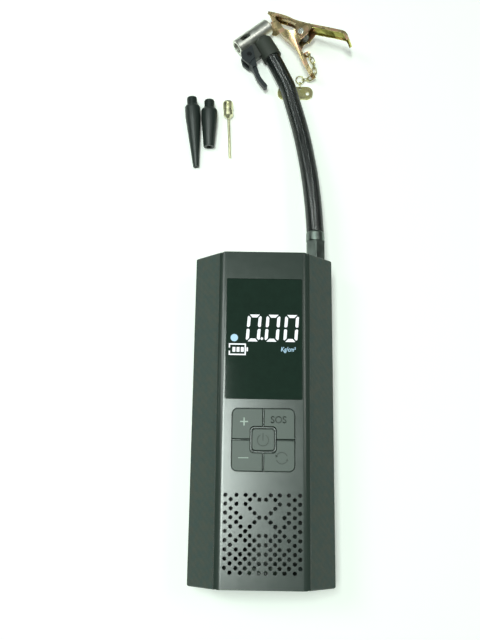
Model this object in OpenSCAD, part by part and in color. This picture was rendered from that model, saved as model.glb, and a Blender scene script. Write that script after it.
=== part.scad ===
// Portable tire inflator, lying on its back, with its hose, chuck, clip and nozzles.
// X runs across the housing, Y along it towards the hose, Z up from the flat back face.
// The origin is the middle of the back face. All sizes are in millimetres.

/* [Housing] */
// Width of the housing
body_w = 92; // [90:1:100]
// Length of the housing
body_l = 212; // [211:1:230]
// Height of the housing
body_h = 50; // [49.5:0.5:56]
// Distance between the two seams of the front panel
seam_w = 59; // [57.5:0.5:61]
// Width of the flat back face
back_w = 59; // [57:1:62]
// Height of the sloping band along each back edge
back_slope_h = 17.5; // [15:0.5:19]
// Slope of the two wings beside the front panel
wing_angle = 43; // [41:1:45]
// Radius of the front panel's rounded shoulders
shoulder_r = 7; // [6:0.5:7.5]
// Wall thickness of the two shells
wall = 2.5; // [2:0.1:2.7]
// Chamfer along the edges of both ends
end_chamfer = 0.8; // [0.4:0.1:1]
// Thickness of the front panel
panel_t = 3; // [2.6:0.1:3.4]

/* [Display] */
// Width of the display window
window_w = 49.2; // [46:0.1:49.4]
// Length of the display window
window_l = 79; // [74:1:80]
// Distance of the window's middle from the middle of the housing
window_y = 47.9; // [47:0.1:49]
// Thickness of the clear display lens
lens_t = 1.5; // [1.2:0.1:1.8]
// Width of the ledge that carries the lens
lens_ledge = 1.5; // [1:0.1:2]

/* [Keypad] */
// Width of the block of keys
keypad_w = 39; // [37:0.5:40]
// Length of the block of keys
keypad_l = 38.5; // [37:0.5:39]
// Distance of the keypad's middle from the middle of the housing, towards the grille
keypad_y = 17; // [16.5:0.1:17.5]
// Gap between neighbouring keys
key_gap = 1; // [0.8:0.1:1.4]
// Width of the power key
power_w = 13.9; // [12:0.1:14.5]
// Length of the power key
power_l = 13.2; // [12:0.1:14.5]
// Height of the keys above the panel
key_rise = 0.3; // [0:0.1:1]
// Travel of each key
key_travel = 0.6; // [0.4:0.1:0.7]

/* [Vent grille] */
// Diameter of a vent hole
vent_d = 2.2; // [1.6:0.1:2.4]
// Distance between two rows of vent holes
vent_pitch = 2.67; // [2.55:0.01:2.7]
// Distance of the first row from the middle of the housing
vent_start = 50.6; // [50:0.1:51.5]

/* [Battery] */
// Diameter of a battery cell
cell_d = 18.2; // [17.5:0.1:18.5]
// Length of a battery cell
cell_l = 65; // [60:1:66]

/* [Pump] */
// Diameter of the motor
motor_d = 32; // [28:1:33]
// Length of the motor
motor_l = 34; // [30:1:34.5]
// Diameter of the motor shaft
shaft_d = 3.2; // [2.5:0.1:4]
// Module of the gear teeth
gear_module = 0.8; // [0.75:0.01:0.82]
// Teeth of the pinion
pinion_teeth = 12; // [12:1:12]
// Teeth of the drive gear
gear_teeth = 40; // [40:1:40]
// Face width of the drive gear
gear_t = 5; // [4:0.5:5]
// Radius of the crank
crank_r = 5; // [3.5:0.5:5]
// Bore of the cylinder
bore_d = 17; // [15:0.5:17]
// Wall of the cylinder
barrel_wall = 2.6; // [2.4:0.1:2.6]
// Thickness of the cylinder head
head_t = 5.5; // [4:0.5:6]

/* [Hose and chuck] */
// Width across the flats of the hose nut
nut_af = 12; // [11:0.5:13]
// Length of the hose nut
nut_l = 15.8; // [15.8:0.1:15.8]
// Diameter of the ferrule
ferrule_d = 12.8; // [12.4:0.1:13.6]
// Diameter of the braided hose
hose_d = 12.2; // [11:0.1:12.4]
// Diameter of the chuck barrel
chuck_d = 12.3; // [12:0.1:13]
// Length of the chuck barrel
chuck_l = 31; // [28:0.5:32]
// Diameter of the chuck's mouth, which goes over a tire valve
valve_d = 8.3; // [8:0.1:8.6]
// Depth of the chuck's mouth
valve_l = 10; // [9:0.5:11]
// Length of the lever, from its pin to its tip
lever_l = 28.5; // [24:0.5:30]

/* [Clip] */
// Depth of the clip's wide handle
clip_depth = 14; // [12:0.5:14]
// Thickness of the clip's sheet
sheet_t = 0.9; // [0.7:0.1:1]
// Thickness of the chain's wire
chain_wire = 0.9; // [0.7:0.1:1]

/* [Nozzles] */
// Length of the long nozzle
long_l = 55; // [50:1:60]
// Largest diameter of the long nozzle
long_d = 11.6; // [11:0.1:12.4]
// Length of the short nozzle
short_l = 37; // [34:1:40]
// Largest diameter of the short nozzle
short_d = 12.2; // [11.4:0.1:12.6]
// Length of the ball needle
needle_l = 45; // [40:1:50]
// Diameter of the needle's tube
needle_d = 1.9; // [1.6:0.1:2.2]
// Diameter of the threaded ends that screw into the chuck
thread_d = 7.7; // [7.4:0.1:7.9]

/* [Hidden] */
$fn = 48;

// Clearances
fit = 0.05;        // running fit of a shaft or a piston
snug = 0.1;        // parts that drop into each other
slack = 0.5;       // keys in their opening
seat = 0.3;        // parts that lie close without touching
eps = 0.01;

// Heights and places in the housing
end_y = body_l / 2;
inner_y = end_y - wall;
part_z = body_h / 2;
seam_x = seam_w / 2;
flat_x = seam_x - shoulder_r * sin(wing_angle);
seam_z = body_h - shoulder_r * (1 - cos(wing_angle));
side_z = seam_z - (body_w / 2 - seam_x) * tan(wing_angle);
panel_z = body_h - panel_t;
ledge_x = seam_x + (seam_z - panel_z) / tan(wing_angle);
roof_z = panel_z - wall;

// How far from the middle the sloping inner walls lie at the height z
function wing_reach(z) = seam_x + (seam_z - z) / tan(wing_angle) - wall / sin(wing_angle);
back_run = (body_w - back_w) / 2 / back_slope_h;
function back_reach(z) = back_w / 2 + z * back_run - wall * sqrt(1 + back_run * back_run);

// Housing screws and their bosses
boss_r = 3.5;
boss_x = 24;
boss_y = inner_y - 6.5;
screw_seat_z = 14.4;
screw_r = 1.45;
screw_head_r = 2.8;
screw_head_t = 2.4;
screw_l = 17;

// Keypad
core_w = power_w + 2.6;
core_l = power_l + 3.3;
key_top_z = body_h + key_rise;
key_lip = 0.8;
key_lip_t = 1.4;
key_lip_z = panel_z - seat - key_lip_t;
power_lip_z = key_lip_z - key_travel - seat - 0.9;
stem_z = power_lip_z - 0.5;
stem_r = 2;
switch_w = 6;
switch_body_t = 1.6;
plunger_r = 1.6;
plunger_h = 0.8;
plunger_z = stem_z - key_travel - snug;
key_x = keypad_w / 4 + 3.4;
key_y = keypad_l / 4 + 3.4;

// Main board, hung under the front shell
board_t = 1.6;
board_z = plunger_z - plunger_h - switch_body_t - board_t;
board_w = 64;
board_y1 = boss_y - boss_r - 1.4;
board_boss_x = 29;
board_boss_r = 2.8;
board_screw_r = 0.95;
board_screw_bite = 3;
board_screw_head_r = 2;
board_screw_head_t = 1.3;

// Lamp and charging socket in the two end walls
lamp_w = 24;
lamp_h = 11;
lamp_flange = 1.4;
usb_w = 9;
usb_h = 3.4;
usb_l = 7.5;
charge_w = 20;

// Battery
cell_pitch = cell_d + 0.6;
cradle_floor = 1.2;
cell_z = wall + cradle_floor + cell_d / 2;
cradle_h = cell_d * 0.36 + cradle_floor;
cradle_end = 2.2;
tab_t = 0.3;

// Pump train: the motor lies along Y, the cylinder along X
gear_r = gear_module * gear_teeth / 2;
pinion_r = gear_module * pinion_teeth / 2;
centre_gap = gear_r + pinion_r;
fan_t = 6;
fan_r = 13;
fan_gap = 0.5;
fan_y0 = fan_gap + boss_r - boss_y;
can_y0 = fan_y0 + fan_t + 1;
frame_t = 4;
frame_back = can_y0 + motor_l;
frame_y = frame_back + frame_t;
motor_x = -22;
crank_x = motor_x + centre_gap;
gear_y0 = frame_y + 0.5;
gear_y1 = gear_y0 + gear_t;
board_y0 = gear_y1 + 4.5;
board_boss_y = [board_y0 + 18, board_y1 - 3.5];
crank_shaft_r = 2.5;
crank_pin_r = 2;
rod_t = 5;
rod_y = gear_y1 + 2 + rod_t / 2;
pin_end_y = rod_y - rod_t / 2 - seat;
rod_eye_r = 5;
barrel_r = bore_d / 2 + barrel_wall;
barrel_x0 = crank_x + gear_r + gear_module + 0.9;
barrel_y = rod_y;
flange_t = 3;
flange_w = 2 * barrel_r + 0.4;
gasket_t = 0.5;
head_gap = 0.5;
head_x1 = min(wing_reach(part_z + flange_w / 2), back_reach(part_z - flange_w / 2), body_w / 2 - wall) - head_gap;
head_x0 = head_x1 - head_t;
barrel_x1 = head_x0 - gasket_t;
union_x = head_x1 - 2;
head_screw_y = barrel_r - 2.4;
head_screw_z = barrel_r - 4.1;
crown_x = barrel_x1 - 1.4;
cup_t = 1.2;
disc_t = 2.5;
barb_r = 1.6;
tube_r = 3;
foot_t = 3;
pad_t = 4;
frame_screw_r = 1.25;
frame_screw_head_r = 2.6;
frame_screw_head_t = 1.8;
foot_x = [motor_x, 20];
foot_y = frame_y + 5;
motor_screw_p = 9;
cell_y0 = barrel_y + flange_w / 2 + cradle_end + 3.5;

// Hose socket
union_flange_r = 6.8;
union_flange_t = 2.4;
union_neck_r = 4.5;
nut_y0 = end_y + 0.2;
ferrule_y0 = nut_y0 + nut_l;
ferrule_l = 7.2;

// Chuck frame: origin in the middle of the mouth, X along the barrel to its closed end
chuck_pos = [-21.5, 286.1, 7.5];
chuck_turn = 38.9;
chuck_r = chuck_d / 2;
chuck_gasket_r = valve_d / 2 + 0.4;
chuck_gasket_t = 3;
elbow_start = [19.4, -5.4];
elbow_end = [16.1, -24];
elbow_run = elbow_end - elbow_start;
elbow_l = norm(elbow_run);
elbow_turn = atan2(elbow_run[1], elbow_run[0]);
elbow_r = 7.4;
elbow_dome = 5.4;
// turn of the barrel's slot from the top
slot_turn = 7;
pin_at = [2, -12.5];
pin_r = 1.2;
bracket_t = 5;
lever_cheek_t = 2.4;
lever_half = bracket_t / 2 + seat + lever_cheek_t;
lever_arm_t = 4.4;
lever_root = 22.5;

// Free route of the hose, from the ferrule to the chuck's elbow
hose_out = chuck_point(elbow_end[0], elbow_end[1]);
hose_route = [
  [36, 129.2, 25], [34.8, 150, 24.5], [32.8, 172, 22], [30, 194, 18], [26.3, 216, 13.5],
  [21.4, 237, 10.4], [17.6, 252, 8.7], [12.9, 263, 8.2], [6.1, 277.6, 7.5]
];
hose_sides = 12;

// Clip frame: origin in the middle of the rivet, X along the upper handle, Z along the rivet
clip_pos = [29.1, 294.3, 13];
clip_turn = -11;
clip_lean = 20;
lean_axis = [0.437, -0.9, 0];
upper_half = clip_depth / 2;
lower_half = upper_half - sheet_t - 0.2;
rivet_r = 1.7;
spring_wire_r = 0.5;
spring_r = 3.7;
spring_pitch = 1.7;
spring_steps = 39;
spring_start = 195;

// Outer edge of each jaw and handle, from the tip to the end of the handle
upper_edge = [
  [-28.8, 15], [-21, 13.6], [-13, 11.6], [-4.3, 8.4], [8.3, 5.8], [30.6, 2.2], [35.6, -0.3], [38, -4.6]
];
lower_edge = [
  [-28.2, 13], [-25.3, 8.3], [-21.6, 3], [-15.2, -2.4], [-8.7, -6.9], [-4.2, -10.9],
  [0, -15.9], [3.3, -21.1], [8.5, -28.2], [12, -32.4]
];

upper_curve = eased(upper_edge, 3);
lower_curve = eased(lower_edge, 3);

// Chain: each link's heading and slope, walked from the clip's lug
lug_hole = [4.6, -12.5];
link_inner_l = 4.5;
link_inner_w = 2.2;
link_play = 0.6;
link_headings = [-53, -60, -78, -85, -115, -150, -178];
link_slopes = [4, -25, -30, -14, 0, 0, 0];
ring_r = 3.1;
tag_l = 27;
tag_w = 10.4;
tag_t = 0.7;
tag_lift = 1.1;
tag_pos = [23.8, 251.8];

// Nozzles lie on the surface, each with its threaded end first
long_neck = 6.5;
long_shoulder = 1.5;
long_straight = 8;
long_tip = 0.39;
long_hole_r = 1.1;
short_neck = 7;
short_shoulder = 1.4;
short_straight = 6.6;
short_tip = 0.67;
short_hole_r = 2.2;
crest_h = 0.35;
shoulder_step = 0.8;
needle_neck = 6.4;
collar_r = 3.6;
collar_l = 4.6;
collar_taper = 2.4;
long_pos = [-55.2, 243];
long_turn = -85.2;
short_pos = [-41.8, 240.8];
short_turn = -89.2;
needle_pos = [-27.8, 241.3];
needle_turn = -87;

// ---------- helpers ----------

module cyl_x(r, x0, x1, y, z) {
  translate([x0, y, z]) rotate([0, 90, 0]) cylinder(r = r, h = x1 - x0);
}

module cyl_y(r, y0, y1, x, z) {
  translate([x, y0, z]) rotate([-90, 0, 0]) cylinder(r = r, h = y1 - y0);
}

module cyl_z(r, z0, z1, x, y) {
  translate([x, y, z0]) cylinder(r = r, h = z1 - z0);
}

module block(x0, x1, y0, y1, z0, z1) {
  translate([x0, y0, z0]) cube([x1 - x0, y1 - y0, z1 - z0]);
}

// A rectangle with round corners, made of true arcs
module rounded(w, l, r) {
  square([w - 2 * r, l], center = true);
  square([w, l - 2 * r], center = true);
  for (sx = [-1, 1], sy = [-1, 1])
    translate([sx * (w / 2 - r), sy * (l / 2 - r)]) circle(r);
}

// A flat shape drawn in X and Z, extruded from y0 to y1
module along_y(y0, y1) {
  translate([0, y1, 0]) rotate([90, 0, 0]) linear_extrude(y1 - y0) children();
}

// A flat shape drawn in Y and Z, extruded from x0 to x1
module along_x(x0, x1) {
  translate([x0, 0, 0]) rotate([90, 0, 90]) linear_extrude(x1 - x0) children();
}

// Where the lines through two neighbouring edges meet after both move inwards by d
function unit(v) = v / norm(v);
function left(v) = [-v[1], v[0]];
function meet(a, b, c, d) =
  let (u = unit(b - a), v = unit(c - b), n = left(u), m = left(v))
  b + (n + m) * d / (1 + n * m);
function inset(p, d) =
  let (k = len(p))
  [for (i = [0:k - 1]) meet(p[(i + k - 1) % k], p[i], p[(i + 1) % k], d)];

// The inner side of a bent strip whose outer side is p
function strip_side(p, d) =
  let (k = len(p))
  [for (i = [0:k - 1])
    i == 0 ? p[0] + left(unit(p[1] - p[0])) * d
    : i == k - 1 ? p[i] + left(unit(p[i] - p[i - 1])) * d
    : meet(p[i - 1], p[i], p[i + 1], d)];

// A smooth run through the points, with n steps between neighbours
function ease(a, b, c, d, t) =
  0.5 * (2 * b + (c - a) * t + (2 * a - 5 * b + 4 * c - d) * t * t + (3 * b - a - 3 * c + d) * t * t * t);
function eased(p, n) =
  let (k = len(p), q = concat([2 * p[0] - p[1]], p, [2 * p[k - 1] - p[k - 2]]))
  concat([for (i = [0:k - 2], j = [0:n - 1]) ease(q[i], q[i + 1], q[i + 2], q[i + 3], j / n)], [p[k - 1]]);
function backwards(p) = [for (i = [len(p) - 1:-1:0]) p[i]];
module strip(p, d) {
  polygon(concat(p, backwards(strip_side(p, d))));
}

// ---------- housing ----------

function outline(top_x, top_z) = [
  [-back_w / 2, 0], [back_w / 2, 0], [body_w / 2, back_slope_h], [body_w / 2, side_z],
  [top_x, top_z], [-top_x, top_z], [-body_w / 2, side_z], [-body_w / 2, back_slope_h]
];

// What a chamfer takes off both ends, along each flat of the outline
module end_chamfers() {
  ring = outline(seam_x, seam_z);
  for (i = [0:len(ring) - 1], s = [0, 1]) {
    a = ring[i];
    d = ring[(i + 1) % len(ring)] - a;
    translate([a[0], 0, a[1]]) rotate([0, -atan2(d[1], d[0]), 0]) mirror([0, s, 0])
      translate([-30, 0, 0]) along_x(0, norm(d) + 60)
        polygon([[end_y - end_chamfer - 1, -1], [end_y + 1, -1], [end_y + 1, end_chamfer + 1]]);
  }
}

module shells() {
  difference() {
    along_y(-end_y, end_y) polygon(outline(seam_x, seam_z));
    end_chamfers();
    along_y(-inner_y, inner_y) polygon(inset(outline(ledge_x, panel_z), wall));
    // openings in the two end walls
    cyl_y(union_neck_r + snug, inner_y - 1, end_y + 1, union_x, part_z);
    along_y(inner_y - 1, end_y + 1) translate([0, part_z]) rounded(lamp_w, lamp_h, 3);
    along_y(-end_y - 1, -inner_y + 1)
      translate([0, part_z]) rounded(usb_w + 0.6, usb_h + 0.6, (usb_h + 0.6) / 2 - eps);
  }
}

module back_shell() {
  color("#26282a") difference() {
    union() {
      difference() {
        shells();
        block(-body_w, body_w, -body_l, body_l, part_z, body_h + 1);
      }
      // bosses for the housing screws
      for (sx = [-1, 1], sy = [-1, 1])
        cyl_z(boss_r, wall - 1, part_z, sx * boss_x, sy * boss_y);
      // pads under the pump frame's feet
      for (x = foot_x) cyl_z(boss_r, wall - 1, wall + pad_t, x, foot_y);
      // ribs under the charging board and the lamp
      for (sx = [-1, 1]) {
        block(sx * 8 - 0.8, sx * 8 + 0.8, -inner_y - 1, -inner_y + 8, wall - 1, charge_z());
        block(sx * 8 - 0.8, sx * 8 + 0.8, inner_y - 9, inner_y + 1, wall - 1, part_z - lamp_h / 2 - lamp_flange - seat);
      }
      // low stiffening ribs beside the battery
      for (y = [cell_y0 - 4, cell_y0 + cell_l + cradle_end + 4])
        block(-back_w / 2 + 2, back_w / 2 - 2, y - 0.8, y + 0.8, wall - 1, wall + 3);
    }
    for (sx = [-1, 1], sy = [-1, 1]) {
      cyl_z(screw_head_r + 0.4, -1, screw_seat_z, sx * boss_x, sy * boss_y);
      cyl_z(screw_r + 0.2, screw_seat_z - 1, part_z + 1, sx * boss_x, sy * boss_y);
    }
    for (x = foot_x) cyl_z(frame_screw_r + fit, wall, wall + pad_t + 1, x, foot_y);
  }
}

module front_shell() {
  color("#2b2d2f") difference() {
    union() {
      difference() {
        shells();
        block(-body_w, body_w, -body_l, body_l, -1, part_z);
        block(-seam_x - snug, seam_x + snug, -body_l, body_l, panel_z, body_h);
      }
      for (sx = [-1, 1], sy = [-1, 1])
        cyl_z(boss_r, part_z, roof_z + 1, sx * boss_x, sy * boss_y);
      for (sx = [-1, 1], y = board_boss_y)
        cyl_z(board_boss_r, board_z + board_t, roof_z + 1, sx * board_boss_x, y);
    }
    // windows behind the display, the keys and the grille
    block(-window_w / 2 + lens_ledge, window_w / 2 - lens_ledge, window_y - window_l / 2 + lens_ledge,
      window_y + window_l / 2 - lens_ledge, roof_z - 1, body_h);
    translate([0, -keypad_y, roof_z - 1]) linear_extrude(wall + 2)
      rounded(keypad_w + 2 * (slack + key_lip) + 1, keypad_l + 2 * (slack + key_lip) + 1, 4.5);
    block(-flat_x, flat_x, -vent_start - 17.6 * vent_pitch, -vent_start + 1.8, roof_z - 1, body_h);
    // pilot holes
    for (sx = [-1, 1], sy = [-1, 1])
      cyl_z(screw_r, part_z - 1, screw_seat_z + screw_l + 1, sx * boss_x, sy * boss_y);
    for (sx = [-1, 1], y = board_boss_y)
      cyl_z(board_screw_r, board_z, board_z + board_t + board_screw_bite + 1, sx * board_boss_x, y);
  }
}

// Columns of vent holes on each side of the middle: the odd rows' and the even rows'
vent_x = [[4.87, 10.45, 16.05, 22.85], [2.05, 7.7, 13.35, 19.6]];
// One line for each row of vent holes, from the inner column to the outer: "o" is a hole
vent_rows = [
  "oooo", "oo.o", ".ooo", ".o.o", "o.oo", "o.oo", "o.oo", ".ooo", ".o.o",
  "oooo", "oooo", "oo.o", "oooo", "oooo", "oooo", "oooo", "oooo", "oooo"
];

module front_panel() {
  color("#33363a") difference() {
    along_y(-end_y, end_y) {
      translate([-flat_x, panel_z]) square([2 * flat_x, panel_t]);
      for (s = [0, 1]) mirror([s, 0]) intersection() {
        translate([flat_x - eps, panel_z]) square([seam_x - flat_x + eps, panel_t]);
        translate([flat_x, body_h - shoulder_r]) circle(shoulder_r, $fn = 96);
      }
    }
    end_chamfers();
    // stepped opening for the display lens
    translate([0, window_y, body_h - lens_t]) linear_extrude(lens_t + 1)
      rounded(window_w + 2 * snug, window_l + 2 * snug, 1);
    translate([0, window_y, panel_z - 1]) linear_extrude(panel_t + 2)
      rounded(window_w - 2 * lens_ledge, window_l - 2 * lens_ledge, 1);
    // opening for the keys
    translate([0, -keypad_y, panel_z - 1]) linear_extrude(panel_t + 2)
      rounded(keypad_w + 2 * slack, keypad_l + 2 * slack, 3.5 + slack);
    // vent grille
    for (row = [0:len(vent_rows) - 1], col = [0:3], sx = [-1, 1])
      if (vent_rows[row][col] == "o")
        cyl_z(vent_d / 2, panel_z - 1, body_h + 1, sx * vent_x[row % 2][col], -vent_start - row * vent_pitch,
          $fn = 16);
  }
}

module display_lens() {
  color("#0b1210", 0.8) translate([0, window_y, body_h - lens_t]) linear_extrude(lens_t)
    rounded(window_w, window_l, 0.9);
}

module display_module() {
  color("#101416")
    block(-window_w / 2 + lens_ledge + 0.6, window_w / 2 - lens_ledge - 0.6,
      window_y - window_l / 2 + lens_ledge + 1.4, window_y + window_l / 2 - lens_ledge - 1.4,
      board_z + board_t, body_h - lens_t - seat);
}

// ---------- keys ----------

// One corner key: a quarter of the rounded block, cut by the gaps and by the power key's opening
module key_quarter(sx, sy, extra) {
  difference() {
    intersection() {
      rounded(keypad_w + 2 * extra, keypad_l + 2 * extra, 3.5 + extra);
      translate([sx > 0 ? key_gap / 2 : -keypad_w, sy > 0 ? key_gap / 2 : -keypad_l])
        square([keypad_w - (sx > 0 ? 0 : key_gap / 2), keypad_l - (sy > 0 ? 0 : key_gap / 2)]);
    }
    rounded(core_w, core_l, 2.5);
  }
}

module corner_key(sx, sy) {
  translate([0, -keypad_y, 0]) {
    translate([0, 0, key_lip_z]) linear_extrude(key_top_z - key_lip_z) key_quarter(sx, sy, 0);
    translate([0, 0, key_lip_z]) linear_extrude(key_lip_t) key_quarter(sx, sy, slack + key_lip);
    cyl_z(stem_r, stem_z, key_lip_z + eps, sx * key_x, sy * key_y);
  }
}

module key_plus() { color("#43474a") corner_key(-1, 1); }
module key_sos() { color("#43474a") corner_key(1, 1); }
module key_minus() { color("#43474a") corner_key(-1, -1); }
module key_mode() { color("#43474a") corner_key(1, -1); }

module key_power() {
  color("#43474a") translate([0, -keypad_y, 0]) {
    translate([0, 0, power_lip_z]) linear_extrude(key_top_z - power_lip_z) rounded(power_w, power_l, 2);
    translate([0, 0, power_lip_z]) linear_extrude(0.9) rounded(core_w + 2, core_l + 2, 3);
    cyl_z(stem_r, stem_z, power_lip_z + eps, 0, 0);
  }
}

// ---------- electronics ----------

function switch_at() = concat([[0, 0]], [for (sx = [-1, 1], sy = [-1, 1]) [sx * key_x, sy * key_y]]);

module main_board() {
  color("#1d4a2c") difference() {
    block(-board_w / 2, board_w / 2, board_y0, board_y1, board_z, board_z + board_t);
    for (sx = [-1, 1], y = board_boss_y)
      cyl_z(board_screw_r + 0.25, board_z - 1, board_z + board_t + 1, sx * board_boss_x, y);
  }
}

module tact_switches() {
  for (p = switch_at()) translate([p[0], p[1] - keypad_y, board_z + board_t]) {
    color("#c9ccce") translate([0, 0, switch_body_t / 2])
      cube([switch_w, switch_w, switch_body_t], center = true);
    color("#1a1a1a") cylinder(r = plunger_r, h = plunger_z - board_z - board_t);
  }
}

// A pan-head screw along -Z whose head stands on the face at height 0
module screw(r, l, head_r, head_t) {
  translate([0, 0, -l]) cylinder(r = r, h = l + eps);
  cylinder(r = head_r, h = head_t);
}

module board_screws() {
  color("#b9bcc0") for (sx = [-1, 1], y = board_boss_y)
    translate([sx * board_boss_x, y, board_z]) rotate([180, 0, 0])
      screw(board_screw_r, board_t + board_screw_bite, board_screw_head_r, board_screw_head_t);
}

module housing_screws() {
  color("#2b2b2c") for (sx = [-1, 1], sy = [-1, 1]) difference() {
    translate([sx * boss_x, sy * boss_y, screw_seat_z]) rotate([180, 0, 0])
      screw(screw_r - 0.05, screw_l, screw_head_r, screw_head_t);
    for (a = [0, 90]) translate([sx * boss_x, sy * boss_y, screw_seat_z - screw_head_t]) rotate(a)
      cube([3.2, 0.8, 2], center = true);
  }
}

module lamp_lens() {
  color("#e8efee", 0.6) {
    along_y(inner_y - seat, end_y - 0.4)
      translate([0, part_z]) rounded(lamp_w - 2 * snug, lamp_h - 2 * snug, 3 - snug);
    along_y(inner_y - seat - 1.2, inner_y - seat)
      translate([0, part_z]) rounded(lamp_w + 2 * lamp_flange, lamp_h + 2 * lamp_flange, 3);
  }
}

module lamp_module() {
  lamp_y1 = inner_y - seat - 1.2 - seat;
  color("#e6e4d8") difference() {
    along_y(lamp_y1 - 6, lamp_y1) translate([0, part_z]) rounded(lamp_w, lamp_h + 1.6, 3);
    along_y(lamp_y1 - 4, lamp_y1 + 1) translate([0, part_z]) rounded(lamp_w - 2.4, lamp_h - 1.4, 2);
  }
  color("#f2e36b") for (x = [-6, 0, 6])
    along_y(lamp_y1 - 4 - eps, lamp_y1 - 3) translate([x, part_z]) square(3, center = true);
}

function charge_z() = part_z - usb_h / 2 - board_t;

module charge_board() {
  color("#1d4a2c")
    block(-charge_w / 2, charge_w / 2, -inner_y + seat, -inner_y + 8, charge_z(), charge_z() + board_t);
}

module charge_socket() {
  color("#c6c9cc") difference() {
    along_y(-end_y + 0.6, -end_y + 0.6 + usb_l)
      translate([0, part_z]) rounded(usb_w, usb_h, usb_h / 2 - eps);
    along_y(-end_y, -end_y + usb_l - 1)
      translate([0, part_z]) rounded(usb_w - 0.8, usb_h - 0.8, (usb_h - 0.8) / 2 - eps);
  }
  color("#151515") along_y(-end_y + 1.6, -end_y + usb_l) translate([0, part_z]) square([6.4, 0.7], center = true);
}

// ---------- battery ----------

module battery_cells() {
  color("#3d6fb3") for (i = [-1:1]) {
    cyl_y(cell_d / 2, cell_y0, cell_y0 + cell_l - 1, i * cell_pitch, cell_z);
    cyl_y(cell_d * 0.3, cell_y0 + cell_l - 1 - eps, cell_y0 + cell_l, i * cell_pitch, cell_z);
  }
}

module battery_cradle() {
  half = 1.5 * cell_pitch;
  color("#202224") difference() {
    union() {
      along_y(cell_y0 - cradle_end, cell_y0 + cell_l + cradle_end)
        polygon([[-half + 0.8, wall], [half - 0.8, wall], [half + 2, wall + cradle_h], [-half - 2, wall + cradle_h]]);
      for (y = [cell_y0 - cradle_end, cell_y0 + cell_l + tab_t + snug])
        block(-half, half, y, y + cradle_end - tab_t - snug, wall + cradle_h - 1, cell_z + cell_d * 0.35);
    }
    for (i = [-1:1])
      cyl_y(cell_d / 2 + snug, cell_y0 - tab_t - snug, cell_y0 + cell_l + tab_t + snug, i * cell_pitch, cell_z);
  }
}

module cell_tabs() {
  tab_l = 2 * cell_pitch + 8;
  color("#c2c5c7") for (y = [cell_y0 - tab_t, cell_y0 + cell_l])
    block(-tab_l / 2, tab_l / 2, y, y + tab_t, cell_z - 1.5, cell_z + 2);
}

// ---------- pump ----------

module motor_can() {
  color("#b4b8bb") difference() {
    union() {
      cyl_y(motor_d / 2, can_y0 + 2, frame_back, motor_x, part_z);
      cyl_y(motor_d / 2 - 1.2, can_y0, can_y0 + 2 + eps, motor_x, part_z);
      cyl_y(4.6, frame_back - eps, frame_back + 1.5, motor_x, part_z);
    }
    cyl_y(shaft_d / 2 + fit, can_y0 - 1, frame_back + 2, motor_x, part_z);
    // cooling windows round the rear end
    for (a = [0:60:300]) translate([motor_x, can_y0 + 6, part_z]) rotate([0, a, 0])
      translate([motor_d / 2, 0, 0]) cube([2.4, 6, 5], center = true);
    for (s = [-1, 1]) cyl_y(1.3, frame_back - 4, frame_back + 1, motor_x, part_z + s * motor_screw_p);
  }
}

module rotor_shaft() {
  color("#d2d5d7") cyl_y(shaft_d / 2, fan_y0, gear_y1, motor_x, part_z);
}

// A spur gear in the XZ plane, with straight-sided teeth; the first tooth points along +X
module gear_shape(teeth, lash, phase) {
  r = gear_module * teeth / 2;
  step = 360 / teeth;
  half = step / 4 - lash / r * 90 / PI;
  polygon([for (i = [0:teeth - 1], k = [0:3])
    let (a = i * step + phase + [-half * 1.55, -half * 0.42, half * 0.42, half * 1.55][k],
      q = [r - 1.2 * gear_module, r + 0.9 * gear_module, r + 0.9 * gear_module, r - 1.2 * gear_module][k])
    [q * cos(a), q * sin(a)]]);
}

module pinion() {
  color("#c9a54e") difference() {
    along_y(gear_y0, gear_y1) translate([motor_x, part_z]) gear_shape(pinion_teeth, 0.16, 180 / pinion_teeth);
    cyl_y(shaft_d / 2 + 0.01, gear_y0 - 1, gear_y1 + 1, motor_x, part_z);
  }
}

module cooling_fan() {
  color("#2f3234") difference() {
    union() {
      cyl_y(4.2, fan_y0, fan_y0 + fan_t, motor_x, part_z);
      for (a = [0:360 / 7:359]) translate([motor_x, fan_y0 + fan_t / 2, part_z]) rotate([0, a, 0])
        rotate([38, 0, 0]) translate([3, -0.5, -fan_t / 2 - 0.4]) cube([fan_r - 3, 1, fan_t + 0.8]);
    }
    cyl_y(shaft_d / 2 + 0.01, fan_y0 - 1, fan_y0 + fan_t + 1, motor_x, part_z);
    // faces trimmed to the fan's own thickness
    block(-60, 60, fan_y0 - 20, fan_y0, -20, 80);
    block(-60, 60, fan_y0 + fan_t, fan_y0 + fan_t + 0.95, -20, 80);
  }
}

module motor_screws() {
  color("#8b8e90") for (s = [-1, 1])
    translate([motor_x, frame_y, part_z + s * motor_screw_p]) rotate([-90, 0, 0]) screw(1.25, frame_t + 3, 2.4, 1.2);
}

// The pump's square flange with its four screw holes, drawn in Y and Z
module flange_shape(hole_r) {
  difference() {
    translate([barrel_y, part_z]) rounded(flange_w, flange_w, 3);
    for (sy = [-1, 1], sz = [-1, 1])
      translate([barrel_y + sy * head_screw_y, part_z + sz * head_screw_z]) circle(hole_r);
  }
}

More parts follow.
